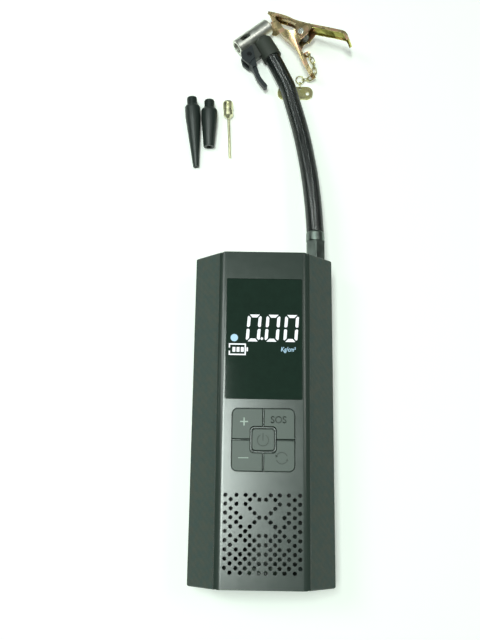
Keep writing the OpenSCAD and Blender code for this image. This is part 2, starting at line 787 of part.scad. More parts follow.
module pump_frame() {
  color("#9a9da0") difference() {
    union() {
      // motor plate
      cyl_y(motor_d / 2 + 0.6, frame_back, frame_y, motor_x, part_z);
      block(motor_x, barrel_x1, frame_back, frame_y, part_z - barrel_r + 1, part_z + barrel_r - 1);
      // legs and feet
      for (x = foot_x) {
        block(x - 4, x + 4, frame_back, frame_y, wall + pad_t, part_z - 6);
        block(x - 4, x + 4, frame_back, foot_y + 4, wall + pad_t, wall + pad_t + foot_t);
      }
      // barrel with cooling fins
      cyl_x(barrel_r, barrel_x0, barrel_x1, barrel_y, part_z);
      for (i = [0:2]) cyl_x(barrel_r + 1, barrel_x0 + 2 + i * 4, barrel_x0 + 3.4 + i * 4, barrel_y, part_z);
      along_x(barrel_x1 - flange_t, barrel_x1) translate([barrel_y, part_z]) rounded(flange_w, flange_w, 3);
    }
    cyl_x(bore_d / 2, barrel_x0 - 1, barrel_x1 + 1, barrel_y, part_z);
    for (sy = [-1, 1], sz = [-1, 1])
      cyl_x(1.05, barrel_x1 - flange_t + 0.4, barrel_x1 + 1, barrel_y + sy * head_screw_y, part_z + sz * head_screw_z);
    cyl_y(4.7, frame_back - 1, frame_y + 1, motor_x, part_z);
    cyl_y(crank_shaft_r + 1.5, frame_back - 1, frame_y + 1, crank_x, part_z);
    for (s = [-1, 1]) cyl_y(1.5, frame_back - 1, frame_y + 1, motor_x, part_z + s * motor_screw_p);
    for (x = foot_x) cyl_z(frame_screw_r + 0.35, wall, wall + pad_t + foot_t + 1, x, foot_y);
  }
}

module frame_screws() {
  color("#8b8e90") for (x = foot_x)
    translate([x, foot_y, wall + pad_t + foot_t])
      screw(frame_screw_r, foot_t + pad_t - 1, frame_screw_head_r, frame_screw_head_t);
}

module crank_bush() {
  color("#b8873c") difference() {
    cyl_y(crank_shaft_r + 1.5 - 0.01, frame_back, frame_y, crank_x, part_z);
    cyl_y(crank_shaft_r + fit, frame_back - 1, frame_y + 1, crank_x, part_z);
  }
}

module drive_gear() {
  color("#e4e1d4") difference() {
    along_y(gear_y0, gear_y1) translate([crank_x, part_z]) gear_shape(gear_teeth, 0.16, 180);
    cyl_y(crank_shaft_r + 0.01, gear_y0 - 1, gear_y1 + 1, crank_x, part_z);
    cyl_y(crank_pin_r + 0.01, gear_y0 + 1, gear_y1 + 1, crank_x + crank_r, part_z);
    // holes that lighten the web opposite the crank pin
    for (a = [100:40:260]) translate([crank_x, 0, part_z]) rotate([0, -a, 0])
      cyl_y(2.6, gear_y0 - 1, gear_y1 + 1, gear_r * 0.62, 0);
  }
}

module crank_shaft() {
  color("#c4c7c9") cyl_y(crank_shaft_r, frame_back, gear_y1, crank_x, part_z);
}

module crank_pin() {
  color("#d2d5d7") cyl_y(crank_pin_r, gear_y0 + 1, pin_end_y, crank_x + crank_r, part_z);
}

module connecting_rod() {
  eye_x = crank_x + crank_r;
  disc_x1 = crown_x - cup_t;
  color("#d8d6cc") difference() {
    union() {
      cyl_y(rod_eye_r, rod_y - rod_t / 2, rod_y + rod_t / 2, eye_x, part_z);
      block(eye_x + 3, disc_x1 - disc_t + 1, rod_y - rod_t / 2, rod_y + rod_t / 2, part_z - 2.6, part_z + 2.6);
      cyl_x(bore_d / 2 - 0.4, disc_x1 - disc_t, disc_x1, rod_y, part_z);
      cyl_x(3, disc_x1 - 1, crown_x + 0.4, rod_y, part_z);
    }
    cyl_y(crank_pin_r + seat, rod_y - rod_t, rod_y + rod_t, eye_x, part_z);
    // flutes that make the shank an I section
    for (s = [-1, 1])
      block(eye_x + 7, disc_x1 - disc_t - 2, rod_y + s * rod_t / 2 - 1.3, rod_y + s * rod_t / 2 + 1.3,
        part_z - 1.5, part_z + 1.5);
  }
}

module piston_cup() {
  color("#1b1b1b") difference() {
    cyl_x(bore_d / 2 - fit, crown_x - cup_t, crown_x, rod_y, part_z);
    cyl_x(3.02, crown_x - cup_t - 1, crown_x + 1, rod_y, part_z);
  }
}

module head_gasket() {
  color("#5a3b2a") difference() {
    along_x(barrel_x1, head_x0) flange_shape(1.5);
    cyl_x(bore_d / 2, barrel_x1 - 1, head_x0 + 1, barrel_y, part_z);
  }
}

module cylinder_head() {
  face_y = barrel_y + flange_w / 2;
  color("#a3a6a9") difference() {
    union() {
      along_x(head_x0, head_x1) flange_shape(1.5);
      cyl_y(barb_r, face_y - 1, face_y + 7, union_x, part_z);
    }
    cyl_x(bore_d / 2 - 2, head_x0 - 1, head_x0 + 1.6, barrel_y, part_z);
    cyl_y(0.8, barrel_y, face_y + 8, union_x, part_z);
  }
}

module head_screws() {
  color("#8b8e90") for (sy = [-1, 1], sz = [-1, 1])
    translate([head_x1, barrel_y + sy * head_screw_y, part_z + sz * head_screw_z]) rotate([0, 90, 0])
      screw(1, head_t + gasket_t + flange_t - 0.7, 2, 1.4);
}

module air_tube() {
  color("#d9dcdc") difference() {
    cyl_y(tube_r, barrel_y + flange_w / 2 + seat, inner_y - union_flange_t - 2 * seat, union_x, part_z);
    cyl_y(barb_r + fit, barrel_y, end_y, union_x, part_z);
  }
}

// ---------- hose socket ----------

module hose_union() {
  color("#2b2d2e") difference() {
    union() {
      cyl_y(barb_r, inner_y - union_flange_t - 8, inner_y - union_flange_t, union_x, part_z);
      cyl_y(union_flange_r, inner_y - snug - union_flange_t, inner_y - snug, union_x, part_z);
      cyl_y(union_neck_r, inner_y - snug - eps, nut_y0 + eps, union_x, part_z);
      translate([union_x, nut_y0, part_z]) rotate([-90, 30, 0])
        cylinder(r = nut_af / sqrt(3), h = nut_l, $fn = 6);
    }
    cyl_y(0.8, 0, end_y + 30, union_x, part_z);
  }
}

module hose_ferrule() {
  r = ferrule_d / 2;
  color("#242627") translate([union_x, ferrule_y0, part_z]) rotate([-90, 0, 0])
    rotate_extrude() polygon([[0.8, 0], [r - 0.4, 0], [r, 0.4], [r, ferrule_l - 1], [r - 0.7, ferrule_l], [0.8, ferrule_l]]);
}

// ---------- hose ----------

function chuck_point(x, y) = [
  chuck_pos[0] + x * cos(chuck_turn) - y * sin(chuck_turn),
  chuck_pos[1] + x * sin(chuck_turn) + y * cos(chuck_turn), chuck_pos[2]
];

// A closed tube swept along the route, square to its first and last faces
module swept_tube(route, r, sides, first, last) {
  k = len(route);
  rings = [for (i = [0:k - 1])
    let (t = unit(i == 0 ? first : i == k - 1 ? last : route[i + 1] - route[i - 1]),
      u = unit(cross(t, [0, 0, 1])), v = cross(u, t))
    [for (j = [0:sides - 1]) let (a = 360 * j / sides) route[i] + r * (cos(a) * u + sin(a) * v)]];
  points = [for (ring = rings, p = ring) p];
  walls = [for (i = [0:k - 2], j = [0:sides - 1])
    let (a = i * sides + j, b = i * sides + (j + 1) % sides) each [[a, b, a + sides], [b, b + sides, a + sides]]];
  ends = [[for (j = [sides - 1:-1:0]) j], [for (j = [0:sides - 1]) (k - 1) * sides + j]];
  polyhedron(points, concat(walls, ends), convexity = 4);
}

module hose() {
  route = [for (i = [0:len(hose_route) - 1])
    i == 0 ? [union_x, ferrule_y0 + ferrule_l, part_z]
    : i == len(hose_route) - 1 ? hose_out : hose_route[i]];
  way_out = chuck_point(elbow_end[0], elbow_end[1]) - chuck_point(elbow_start[0], elbow_start[1]);
  color("#17191a") swept_tube(route, hose_d / 2, hose_sides, [0, 1, 0], -way_out);
}

// ---------- chuck ----------

module in_chuck() {
  translate(chuck_pos) rotate([0, 0, chuck_turn]) children();
}

module chuck_elbow() {
  r = elbow_r;
  color("#2c2f30") in_chuck() difference() {
    translate([elbow_start[0], elbow_start[1], 0]) rotate([0, 0, elbow_turn]) rotate([0, 90, 0])
      rotate_extrude()
        polygon(concat([[0, 0]], [for (a = [30:12:78]) [elbow_dome * sin(a) + r - elbow_dome - 0.2, elbow_dome * (1 - cos(a)) - 0.5]],
          [[r - 0.1, 12], [r, elbow_l], [0, elbow_l]]));
    cyl_x(chuck_r + 0.02, -5, chuck_l + 5, 0, 0);
  }
}

module chuck_barrel() {
  r = chuck_r;
  color("#c9cbc8") in_chuck() difference() {
    rotate([0, 90, 0]) rotate_extrude()
      polygon([[0, 0], [r - 0.5, 0], [r, 0.5], [r, chuck_l - 0.8], [r - 0.8, chuck_l], [0, chuck_l]]);
    cyl_x(valve_d / 2, -1, valve_l + eps, 0, 0);
    cyl_x(chuck_gasket_r, valve_l, valve_l + seat + chuck_gasket_t, 0, 0);
    cyl_x(2.2, 0, 22, 0, 0);
    // slot through the wall near the mouth
    rotate([-slot_turn, 0, 0]) translate([0, 0, chuck_r - 4]) linear_extrude(6)
      translate([8.6, 0]) rounded(8.6, 3.6, 1.79);
    // passage to the elbow
    translate([elbow_start[0], 0, 0]) rotate([90, 0, 0]) cylinder(r = 1.5, h = chuck_r + 1);
  }
}

module chuck_gasket() {
  color("#151515") in_chuck() difference() {
    cyl_x(chuck_gasket_r - 0.02, valve_l + seat, valve_l + seat + chuck_gasket_t, 0, 0);
    cyl_x(2.4, valve_l - 1, valve_l + chuck_gasket_t + 2, 0, 0);
  }
}

module lever_bracket() {
  color("#6d6f6e") in_chuck() difference() {
    translate([0, 0, -bracket_t / 2]) linear_extrude(bracket_t)
      polygon([[-1, -4], [14, -4], [14, -10], [10.6, -17.6], [5, -17.6], [0, -15.6], [-1, -13]]);
    cyl_x(chuck_r + 0.02, -5, chuck_l + 5, 0, 0);
    translate([elbow_start[0], elbow_start[1], 0]) rotate([0, 0, elbow_turn])
      cyl_x(elbow_r + 0.1, -6, elbow_l + 6, 0, 0);
    cyl_z(pin_r + 0.01, -10, 10, pin_at[0], pin_at[1]);
  }
}

module lever_pin() {
  color("#b5b7b6") in_chuck() {
    cyl_z(pin_r, -lever_half, lever_half, pin_at[0], pin_at[1]);
    for (s = [-1, 1])
      cyl_z(pin_r + 0.7, s > 0 ? lever_half + fit : -lever_half - fit - 0.5,
        s > 0 ? lever_half + fit + 0.5 : -lever_half - fit, pin_at[0], pin_at[1]);
    cyl_z(pin_r, -lever_half - 0.3, lever_half + 0.3, pin_at[0], pin_at[1]);
  }
}

// Outline of the lever's arm, from the cheeks to the tip
module lever_outline() {
  tip_y = pin_at[1] - lever_l;
  polygon(concat(
    eased([[4.2, -16.9], [0.4, -25.2], [-1.9, -32], [-2.3, tip_y + 0.6]], 4), [[-2.9, tip_y], [-4.8, tip_y]],
    eased([[-5.4, tip_y + 0.6], [-4.9, -30.7], [-2.2, -21.6], [-3.4, -18.6]], 4)));
}

// Lever: two cheeks beside the bracket, a root that joins them, and a thinner arm along the hose
module chuck_lever() {
  color("#26292a") in_chuck() difference() {
    union() {
      translate([0, 0, -lever_half]) linear_extrude(2 * lever_half)
        polygon([[-1.4, -7.4], [8.4, -7.4], [7.4, -10.4], [4.2, -17], [-3.4, -18.7], [-4.5, -12.4], [-2.6, -8.4]]);
      translate([0, 0, -lever_half + 1]) linear_extrude(2 * lever_half - 2) intersection() {
        lever_outline();
        translate([-10, -lever_root]) square([20, lever_root]);
      }
      translate([0, 0, -lever_arm_t / 2]) linear_extrude(lever_arm_t) lever_outline();
    }
    // fork that straddles the bracket
    translate([0, 0, -bracket_t / 2 - seat]) linear_extrude(bracket_t + 2 * seat) difference() {
      translate([-20, -19]) square([40, 20]);
      translate([-6, -40]) square([12, 21]);
    }
    cyl_z(pin_r + fit, -10, 10, pin_at[0], pin_at[1]);
  }
}

// ---------- clip and chain ----------

module in_clip() {
  translate(clip_pos) rotate(a = clip_lean, v = lean_axis) rotate([0, 0, clip_turn]) children();
}

// The same cheek on both sides of the clip, at the given half depth
module cheeks(half) {
  translate([0, 0, half - sheet_t]) linear_extrude(sheet_t) children();
  translate([0, 0, -half]) linear_extrude(sheet_t) children();
}

module clip_upper_jaw() {
  lip = 2.2;
  color("#c9b183") in_clip() difference() {
    union() {
      translate([0, 0, -upper_half]) linear_extrude(2 * upper_half) strip(upper_curve, -sheet_t);
      cheeks(upper_half) {
        strip(upper_curve, -lip);
        polygon([[-5.4, 8], [8.3, 5.2], [8.5, 4.6], [4.4, -2.7], [1.5, -4], [-1.6, -3.4], [-4.6, 0.4]]);
        polygon([[-28.2, 14.4], [-21, 13], [-22.4, 10.6], [-27.6, 12.8]]);
      }
    }
    cyl_z(rivet_r + fit, -20, 20, 0, 0);
  }
}

module clip_lower_jaw() {
  steps = 3;
  color("#c8b98c") in_clip() difference() {
    union() {
      translate([0, 0, -lower_half]) linear_extrude(2 * lower_half) strip(lower_curve, sheet_t);
      cheeks(lower_half) {
        strip([for (i = [5 * steps:9 * steps]) lower_curve[i]], 3.4);
        polygon(concat([for (i = [0:5 * steps]) lower_curve[i]],
          [[-1, -9.4], [0.4, -5.4], [3.4, -3], [4, 1.4], [1.6, 4], [-2.6, 3.8], [-8, 0.4], [-14.1, 2.3],
           [-19.9, 7.7], [-22, 9.2], [-23, 11.2], [-24.4, 10.8], [-25.2, 12.6], [-26.6, 12.2]]));
      }
      // toothed foot of the lower cheek and the lug that holds the chain
      translate([0, 0, -lower_half]) linear_extrude(sheet_t) {
        polygon([[-27.6, 12.2], [-28.4, 12.8], [-30, 11.4], [-28.6, 9.8], [-29.4, 7.6], [-27.6, 6.2], [-28.2, 3.4],
          [-26.4, 1.4], [-23.6, 1], [-20.8, 3.4], [-24.6, 8.8]]);
        translate(lug_hole) circle(2.3);
        polygon([[3.1, -16.1], [5.8, -14.4], [3.4, -10.6], [0.7, -12.3]]);
      }
    }
    cyl_z(rivet_r + fit, -20, 20, 0, 0);
    cyl_z(1.1, -lower_half - 1, 0, lug_hole[0], lug_hole[1]);
  }
}

module clip_rivet() {
  color("#d6d8d4") in_clip() {
    cyl_z(rivet_r, -upper_half - 0.4, upper_half + 0.4, 0, 0);
    for (s = [-1, 1])
      cyl_z(2.4, s > 0 ? upper_half + fit : -upper_half - fit - 0.7,
        s > 0 ? upper_half + fit + 0.7 : -upper_half - fit, 0, 0);
  }
}

// A closed loop of wire of radius r through the points of a ring, with 6 sides
module wire_loop(ring, r) {
  k = len(ring);
  sides = 6;
  middle = (ring[0] + ring[floor(k / 4)] + ring[floor(k / 2)] + ring[floor(3 * k / 4)]) / 4;
  n = unit(cross(ring[floor(k / 4)] - middle, ring[0] - middle));
  points = [for (i = [0:k - 1])
    let (t = unit(ring[(i + 1) % k] - ring[(i + k - 1) % k]), v = cross(n, t))
    for (j = [0:sides - 1]) let (a = 360 * j / sides) ring[i] + r * (cos(a) * n + sin(a) * v)];
  faces = [for (i = [0:k - 1], j = [0:sides - 1])
    let (a = i * sides + j, b = i * sides + (j + 1) % sides, c = ((i + 1) % k) * sides - i * sides)
    each [[a, b, a + c], [b, b + c, a + c]]];
  polyhedron(points, faces, convexity = 8);
}

// Torsion spring round the rivet: one wire with a straight arm at each end
function coil_point(i) =
  let (a = spring_start - i * 45)
  [spring_r * cos(a), spring_r * sin(a), spring_pitch * (i - spring_steps / 2) / 8];

module clip_spring() {
  coil = [for (i = [0:spring_steps]) coil_point(i)];
  last = spring_start - spring_steps * 45;
  arm_in = coil[0] - 11.6 * [sin(spring_start), -cos(spring_start), 0];
  arm_out = coil[spring_steps] + 3.5 * [sin(last), -cos(last), 0];
  echo("Least gap between turns of the clip's spring", spring_pitch - 2 * spring_wire_r);
  color("#8f9290") in_clip()
    swept_tube(concat([arm_in], coil, [arm_out]), spring_wire_r, 6, coil[0] - arm_in, arm_out - coil[spring_steps]);
}

// Place in the frame of the housing of a point given in the clip's frame
function in_clip_point(p) =
  let (u = unit(lean_axis), q = [p[0] * cos(clip_turn) - p[1] * sin(clip_turn),
    p[0] * sin(clip_turn) + p[1] * cos(clip_turn), p[2]])
  clip_pos + q * cos(clip_lean) + cross(u, q) * sin(clip_lean) + u * (u * q) * (1 - cos(clip_lean));

// Links hang on one another, each turned a quarter from the last
function link_way(i) = [cos(link_headings[i]) * cos(link_slopes[i]), sin(link_headings[i]) * cos(link_slopes[i]),
  sin(link_slopes[i])];
link_pitch = link_inner_l - link_play;
link_reach = (link_inner_l + chain_wire) / 2;
function knot(i) = i == 0
  ? in_clip_point([lug_hole[0], lug_hole[1], -lower_half + sheet_t / 2]) + (link_reach - link_pitch / 2) * link_way(0)
  : knot(i - 1) + link_pitch * link_way(i - 1);

// One oval link round a middle point, long along way, wide along side
module link(middle, way, side) {
  bend = (link_inner_w + chain_wire) / 2;
  run = link_reach - bend;
  wire_loop([for (i = [0:23])
    let (a = (i + 0.5) * 15, c = (cos(a) > 0 ? run : -run) + bend * cos(a))
    middle + c * way + bend * sin(a) * side], chain_wire / 2);
}

module clip_chain() {
  count = len(link_headings);
  color("#a3a06a") {
    for (i = [0:count - 1]) {
      way = link_way(i);
      flat = unit(cross([0, 0, 1], way));
      up = cross(way, flat);
      roll = i % 2 == 0 ? 85 : -5;
      link((knot(i) + knot(i + 1)) / 2, way, flat * cos(roll) + up * sin(roll));
    }
    wire_loop([for (i = [0:23]) ring_middle() + ring_r * [cos(i * 15), sin(i * 15), 0]], chain_wire / 2);
    link([tag_hole()[0], tag_hole()[1] + link_reach, link_inner_w / 2 + chain_wire + 0.1], [0, 1, 0], [0, 0, 1]);
  }
}

function ring_middle() =
  let (k = knot(len(link_headings))) [k[0] + link_reach - link_pitch / 2 - ring_r, k[1], k[2] - 0.25];
function tag_hole() = [ring_middle()[0], tag_pos[1] + tag_w / 2 - tag_t - 1.1];

// Stamped tag with a turned-down rim, lying under the hose
module chain_tag() {
  color("#b8b478") difference() {
    translate([tag_pos[0], tag_pos[1], 0]) linear_extrude(tag_lift + tag_t) rounded(tag_l, tag_w, 4.6);
    translate([tag_pos[0], tag_pos[1], -1]) linear_extrude(tag_lift + 1)
      rounded(tag_l - 2 * tag_t, tag_w - 2 * tag_t, 4.6 - tag_t);
    cyl_z(0.9, -1, 5, tag_hole()[0], tag_hole()[1]);
    block(tag_hole()[0] - 0.9, tag_hole()[0] + 0.9, tag_hole()[1], tag_hole()[1] + 5, -1, tag_lift);
    cyl_z(1.4, -1, 5, tag_pos[0] + 9.4, tag_pos[1] - 0.6);
  }
}

// ---------- nozzles ----------

// A turned part that lies on the surface, resting on the circle r1 at s1 and on r2 at s2.
// Its profile is a list of [distance from the threaded end, radius].
module lying(pos, turn, profile, s1, r1, s2, r2) {
  drop = asin((r1 - r2) / (s2 - s1));
  top = r1 / cos(drop) + (s1 - 0) * tan(drop) + 0.02;
  n = len(profile);
  translate([pos[0], pos[1], top]) rotate([0, 0, turn]) rotate([0, 90 + drop, 0])
    rotate_extrude() polygon(concat([for (p = profile) [p[1], p[0]]], [[0, profile[n - 1][0]], [0, profile[0][0]]]));
}

// Threaded neck: shallow crests round a plain core
function neck(l, crest, core, count) = concat(
  [[0, core]],
  [for (i = [0:count - 1], k = [0:3])
    let (s = 0.4 + (l - 0.8) * (i + [0.05, 0.35, 0.65, 0.95][k]) / count) [s, (k == 1 || k == 2) ? crest : core]],
  [[l, core]]
);

module long_nozzle() {
  r = long_d / 2;
  full = long_neck + long_shoulder;
  color("#1d1f21") difference() {
    lying(long_pos, long_turn, concat(neck(long_neck, thread_d / 2, thread_d / 2 - crest_h, 5),
      [[long_neck, r - shoulder_step], [full, r], [full + long_straight, r], [long_l, r * long_tip]]),
      full + long_straight, r, long_l, r * long_tip);
    lying(long_pos, long_turn, [[-1, long_hole_r], [long_l + 1, long_hole_r]],
      full + long_straight, r, long_l, r * long_tip);
  }
}

module short_nozzle() {
  r = short_d / 2;
  full = short_neck + short_shoulder;
  color("#1d1f21") difference() {
    lying(short_pos, short_turn, concat(neck(short_neck, thread_d / 2, thread_d / 2 - crest_h, 5),
      [[short_neck, r - shoulder_step], [full, r], [full + short_straight, r], [short_l, r * short_tip]]),
      full + short_straight, r, short_l, r * short_tip);
    lying(short_pos, short_turn, [[-1, short_hole_r], [short_l + 1, short_hole_r]],
      full + short_straight, r, short_l, r * short_tip);
  }
}

module ball_needle() {
  r = needle_d / 2;
  foot = needle_neck + collar_l;
  color("#cdcbb9") lying(needle_pos, needle_turn,
    concat(neck(needle_neck, thread_d / 2, thread_d / 2 - crest_h, 5),
      [[needle_neck, collar_r - 0.2], [needle_neck + 0.6, collar_r], [foot, collar_r],
       [foot + collar_taper / 2, collar_r * 0.6], [foot + collar_taper, r], [needle_l - 1, r], [needle_l, r * 0.6]]),
    foot, collar_r, needle_l, r);
}

back_shell();
front_shell();
front_panel();
display_lens();
display_module();
main_board();
tact_switches();
board_screws();
housing_screws();
key_plus();
key_sos();
key_minus();
key_mode();
key_power();
lamp_lens();
lamp_module();
charge_socket();
charge_board();
battery_cells();
battery_cradle();
cell_tabs();
motor_can();
rotor_shaft();
pinion();
cooling_fan();
motor_screws();
pump_frame();
frame_screws();
crank_bush();
drive_gear();
crank_shaft();
crank_pin();
connecting_rod();
piston_cup();
cylinder_head();
head_gasket();
head_screws();
air_tube();
hose_union();
hose_ferrule();
hose();
chuck_elbow();
chuck_barrel();
chuck_gasket();
lever_bracket();
lever_pin();
chuck_lever();
clip_lower_jaw();
clip_upper_jaw();
clip_rivet();
clip_spring();
clip_chain();
chain_tag();
long_nozzle();
short_nozzle();
ball_needle();
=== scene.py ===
import math

import bmesh
import bpy
from bpy.props import FloatProperty, FloatVectorProperty, IntProperty, PointerProperty
from bpy.types import Operator, Panel, PropertyGroup
from mathutils import Matrix, Vector


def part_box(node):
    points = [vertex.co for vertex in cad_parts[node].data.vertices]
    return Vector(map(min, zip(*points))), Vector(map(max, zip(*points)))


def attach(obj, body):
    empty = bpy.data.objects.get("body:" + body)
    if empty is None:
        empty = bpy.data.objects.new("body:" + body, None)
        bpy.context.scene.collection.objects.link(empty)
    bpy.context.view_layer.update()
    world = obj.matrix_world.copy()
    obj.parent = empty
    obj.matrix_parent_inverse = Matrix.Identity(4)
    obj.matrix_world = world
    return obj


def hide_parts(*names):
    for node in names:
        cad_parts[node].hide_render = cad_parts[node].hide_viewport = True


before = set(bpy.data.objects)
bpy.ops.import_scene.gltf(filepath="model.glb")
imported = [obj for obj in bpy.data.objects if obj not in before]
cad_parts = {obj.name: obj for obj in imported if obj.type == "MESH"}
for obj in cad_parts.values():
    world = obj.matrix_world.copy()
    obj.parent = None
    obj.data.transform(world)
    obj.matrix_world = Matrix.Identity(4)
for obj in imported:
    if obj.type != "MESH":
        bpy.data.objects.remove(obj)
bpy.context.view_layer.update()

bl_info = {
    "name": "Portable Tire Inflator",
    "version": (1, 0, 0),
    "blender": (4, 5, 0),
    "location": "View3D > Sidebar > Inflator",
    "description": "Dresses the solid frame of a cordless tire inflator with its visible pieces and finishes",
    "category": "Object",
}

MM = 0.001
# Corners nearer to a plane than this, in metres, lie in it
HAIR = 1e-5

# Camera: its place in millimetres, its turn in degrees, its sensor in millimetres, and its focal length in pixels of
# a frame that is 640 pixels tall
CAMERA_PLACE = (-13.728, -51.073, 513.398)
YAW, PITCH, ROLL = -1.013, 13.417, 0.113
SENSOR, FOCAL, FRAME_HEIGHT = 36, 736.264, 640
# Floor, in metres: half its width, and how far it lies under the object so that no two faces share a plane
FLOOR_REACH, FLOOR_DROP = 3.0, 0.00002
# Light that the floor adds of itself where it is seen, and light of the room
FLOOR_GLOW, ROOM_LIGHT = 0.26, 0.21

# Places of the chuck and of the clip: both lie on the table at the end of the hose
CHUCK = Matrix.Translation((-0.0215, 0.2861, 0.0075)) @ Matrix.Rotation(math.radians(38.9), 4, "Z")
CLIP = (Matrix.Translation((0.0291, 0.2943, 0.013))
        @ Matrix.Rotation(math.radians(20), 4, Vector((0.437, -0.9, 0)))
        @ Matrix.Rotation(math.radians(-11), 4, "Z"))
ELBOW_START = Vector((19.4, -5.4, 0)) * MM
ELBOW_END = Vector((16.1, -24, 0)) * MM
# Slant of the braid's yarns to the hose's run, at which pressure neither stretches nor fattens it
BRAID_ANGLE = 54.7
# Braid: how deep the rubber tube lies in it, half of what a yarn rises and dips, and how far its edges drop
TUBE_DEPTH, YARN_DIP, YARN_DROP = 0.38 * MM, 0.05 * MM, 0.33 * MM
# Half a yarn's width, as a share of the room that it has
YARN_HALF = 0.48


def srgb(code):
    """Linear colour of an sRGB hex code."""
    parts = [int(code[i:i + 2], 16) / 255 for i in (1, 3, 5)]
    return tuple(c / 12.92 if c <= 0.04045 else ((c + 0.055) / 1.055) ** 2.4 for c in parts) + (1.0,)


# ---------- sizes and colours that a user would change ----------

class InflatorSizes(PropertyGroup):
    """Sizes of the visible pieces"""
    shell_edge: FloatProperty(
        name="Shell edge", description="Radius of the moulded edges of the two shells",
        default=0.3 * MM, unit="LENGTH", min=0.1 * MM, max=0.6 * MM)
    panel_edge: FloatProperty(
        name="Panel edge", description="Radius of the edges of the front panel",
        default=0.4 * MM, unit="LENGTH", min=0.1 * MM, max=0.6 * MM)
    key_edge: FloatProperty(
        name="Key edge", description="Radius of the edges on top of the keys",
        default=0.35 * MM, unit="LENGTH", min=0.1 * MM, max=0.6 * MM)
    stroke: FloatProperty(
        name="Symbol stroke", description="Width of the strokes engraved in the keys",
        default=0.85 * MM, unit="LENGTH", min=0.3 * MM, max=1.2 * MM)
    engraving: FloatProperty(
        name="Engraving depth", description="Depth of the symbols engraved in the keys",
        default=0.35 * MM, unit="LENGTH", min=0.1 * MM, max=0.6 * MM)
    tow: FloatProperty(
        name="Weave tow", description="Width of one tow of the moulded weave on the shells",
        default=1.2 * MM, unit="LENGTH", min=0.8 * MM, max=4 * MM)
    carriers: IntProperty(
        name="Braid carriers", description="How many yarns of each hand go round the hose",
        default=24, min=12, max=48)
    hose_width: FloatProperty(
        name="Hose", description="Outer diameter of the braided hose",
        default=12.2 * MM, unit="LENGTH", min=8 * MM, max=12.4 * MM)


class InflatorColours(PropertyGroup):
    """Colours of the visible pieces"""
    shell: FloatVectorProperty(
        name="Shells", description="Moulded weave of the wings, the sides and the back",
        subtype="COLOR", size=4, default=srgb("#3f4b45"), min=0, max=1)
    panel: FloatVectorProperty(
        name="Front panel", description="Satin plastic of the front panel",
        subtype="COLOR", size=4, default=srgb("#2d3933"), min=0, max=1)
    keys: FloatVectorProperty(
        name="Keys", description="Silicone rubber of the keys",
        subtype="COLOR", size=4, default=srgb("#49554e"), min=0, max=1)
    digits: FloatVectorProperty(
        name="Digits", description="Light of the large digits",
        subtype="COLOR", size=4, default=srgb("#f3f8fb"), min=0, max=1)
    signs: FloatVectorProperty(
        name="Signs", description="Light of the battery, the dot and the unit",
        subtype="COLOR", size=4, default=srgb("#a9d3ea"), min=0, max=1)
    braid: FloatVectorProperty(
        name="Braid", description="Polyester yarn of the hose",
        subtype="COLOR", size=4, default=srgb("#0f1614"), min=0, max=1)
    clip: FloatVectorProperty(
        name="Clip", description="Yellow zinc plating of the clip and its chain",
        subtype="COLOR", size=4, default=srgb("#cab889"), min=0, max=1)


# ---------- making meshes ----------

def piece(name, shape, finish, body, replaced=(), sharp=35.0):
    """Turns a bmesh into a piece of the object: smooth but for its sharp edges, and riding on its body."""
    mesh = bpy.data.meshes.new(name)
    shape.to_mesh(mesh)
    shape.free()
    return mesh_piece(name, mesh, finish, body, replaced, sharp)


def mesh_piece(name, mesh, finish, body, replaced=(), sharp=35.0):
    """The same for a mesh: gives it one finish or several, and says what it rides on and which solids it replaces."""
    for k, one in enumerate(finish if isinstance(finish, (list, tuple)) else (finish,)):
        if k < len(mesh.materials):
            mesh.materials[k] = one
        else:
            mesh.materials.append(one)
    mesh.shade_smooth()
    mesh.set_sharp_from_angle(angle=math.radians(sharp))
    made = bpy.data.objects.new(name, mesh)
    bpy.context.scene.collection.objects.link(made)
    # large flat faces stay flat, and the small rounds between them take up the turn
    made.modifiers.new("flat_faces_first", "WEIGHTED_NORMAL").keep_sharp = True
    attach(made, body)
    if replaced:
        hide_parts(*replaced)
    return made


def solid_copy(node, whole=None):
    """A merged copy of a solid of the frame, with the flat faces made whole where whole() accepts the corner."""
    shape = bmesh.new()
    shape.from_mesh(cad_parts[node].data)
    bmesh.ops.remove_doubles(shape, verts=shape.verts, dist=2e-6)
    verts = [v for v in shape.verts if whole is None or whole(v.co)]
    edges = [e for e in shape.edges if whole is None or (whole(e.verts[0].co) and whole(e.verts[1].co))]
    bmesh.ops.dissolve_limit(shape, angle_limit=math.radians(0.4), verts=verts, edges=edges,
                             use_dissolve_boundaries=False)
    return shape


def round_edges(shape, width, where=None, least=25.0, segments=3):
    """Rounds the edges that turn by more than the least angle and that where() accepts."""
    turn = math.radians(least)
    edges = [e for e in shape.edges
             if len(e.link_faces) == 2 and e.calc_face_angle(0) > turn and (where is None or where(e))]
    bmesh.ops.bevel(shape, geom=edges, offset=width, offset_type="OFFSET", segments=segments, profile=0.5,
                    affect="EDGES", clamp_overlap=True, material=-1)


def middle(edge):
    """The point halfway along an edge."""
    return (edge.verts[0].co + edge.verts[1].co) / 2


def plate(shape, outline, low, high):
    """Extrudes a flat outline, given in millimetres, from one height to another."""
    corners = [shape.verts.new((x * MM, y * MM, low * MM)) for x, y in outline]
    face = shape.faces.new(corners)
    made = bmesh.ops.extrude_face_region(shape, geom=[face])["geom"]
    top = [v for v in made if isinstance(v, bmesh.types.BMVert)]
    bmesh.ops.translate(shape, verts=top, vec=(0, 0, (high - low) * MM))
    bmesh.ops.recalc_face_normals(shape, faces=shape.faces)


def bar_stroke(shape, x0, x1, y0, y1, low, high):
    """A straight stroke, as a rectangular plate."""
    plate(shape, [(x0, y0), (x1, y0), (x1, y1), (x0, y1)], low, high)


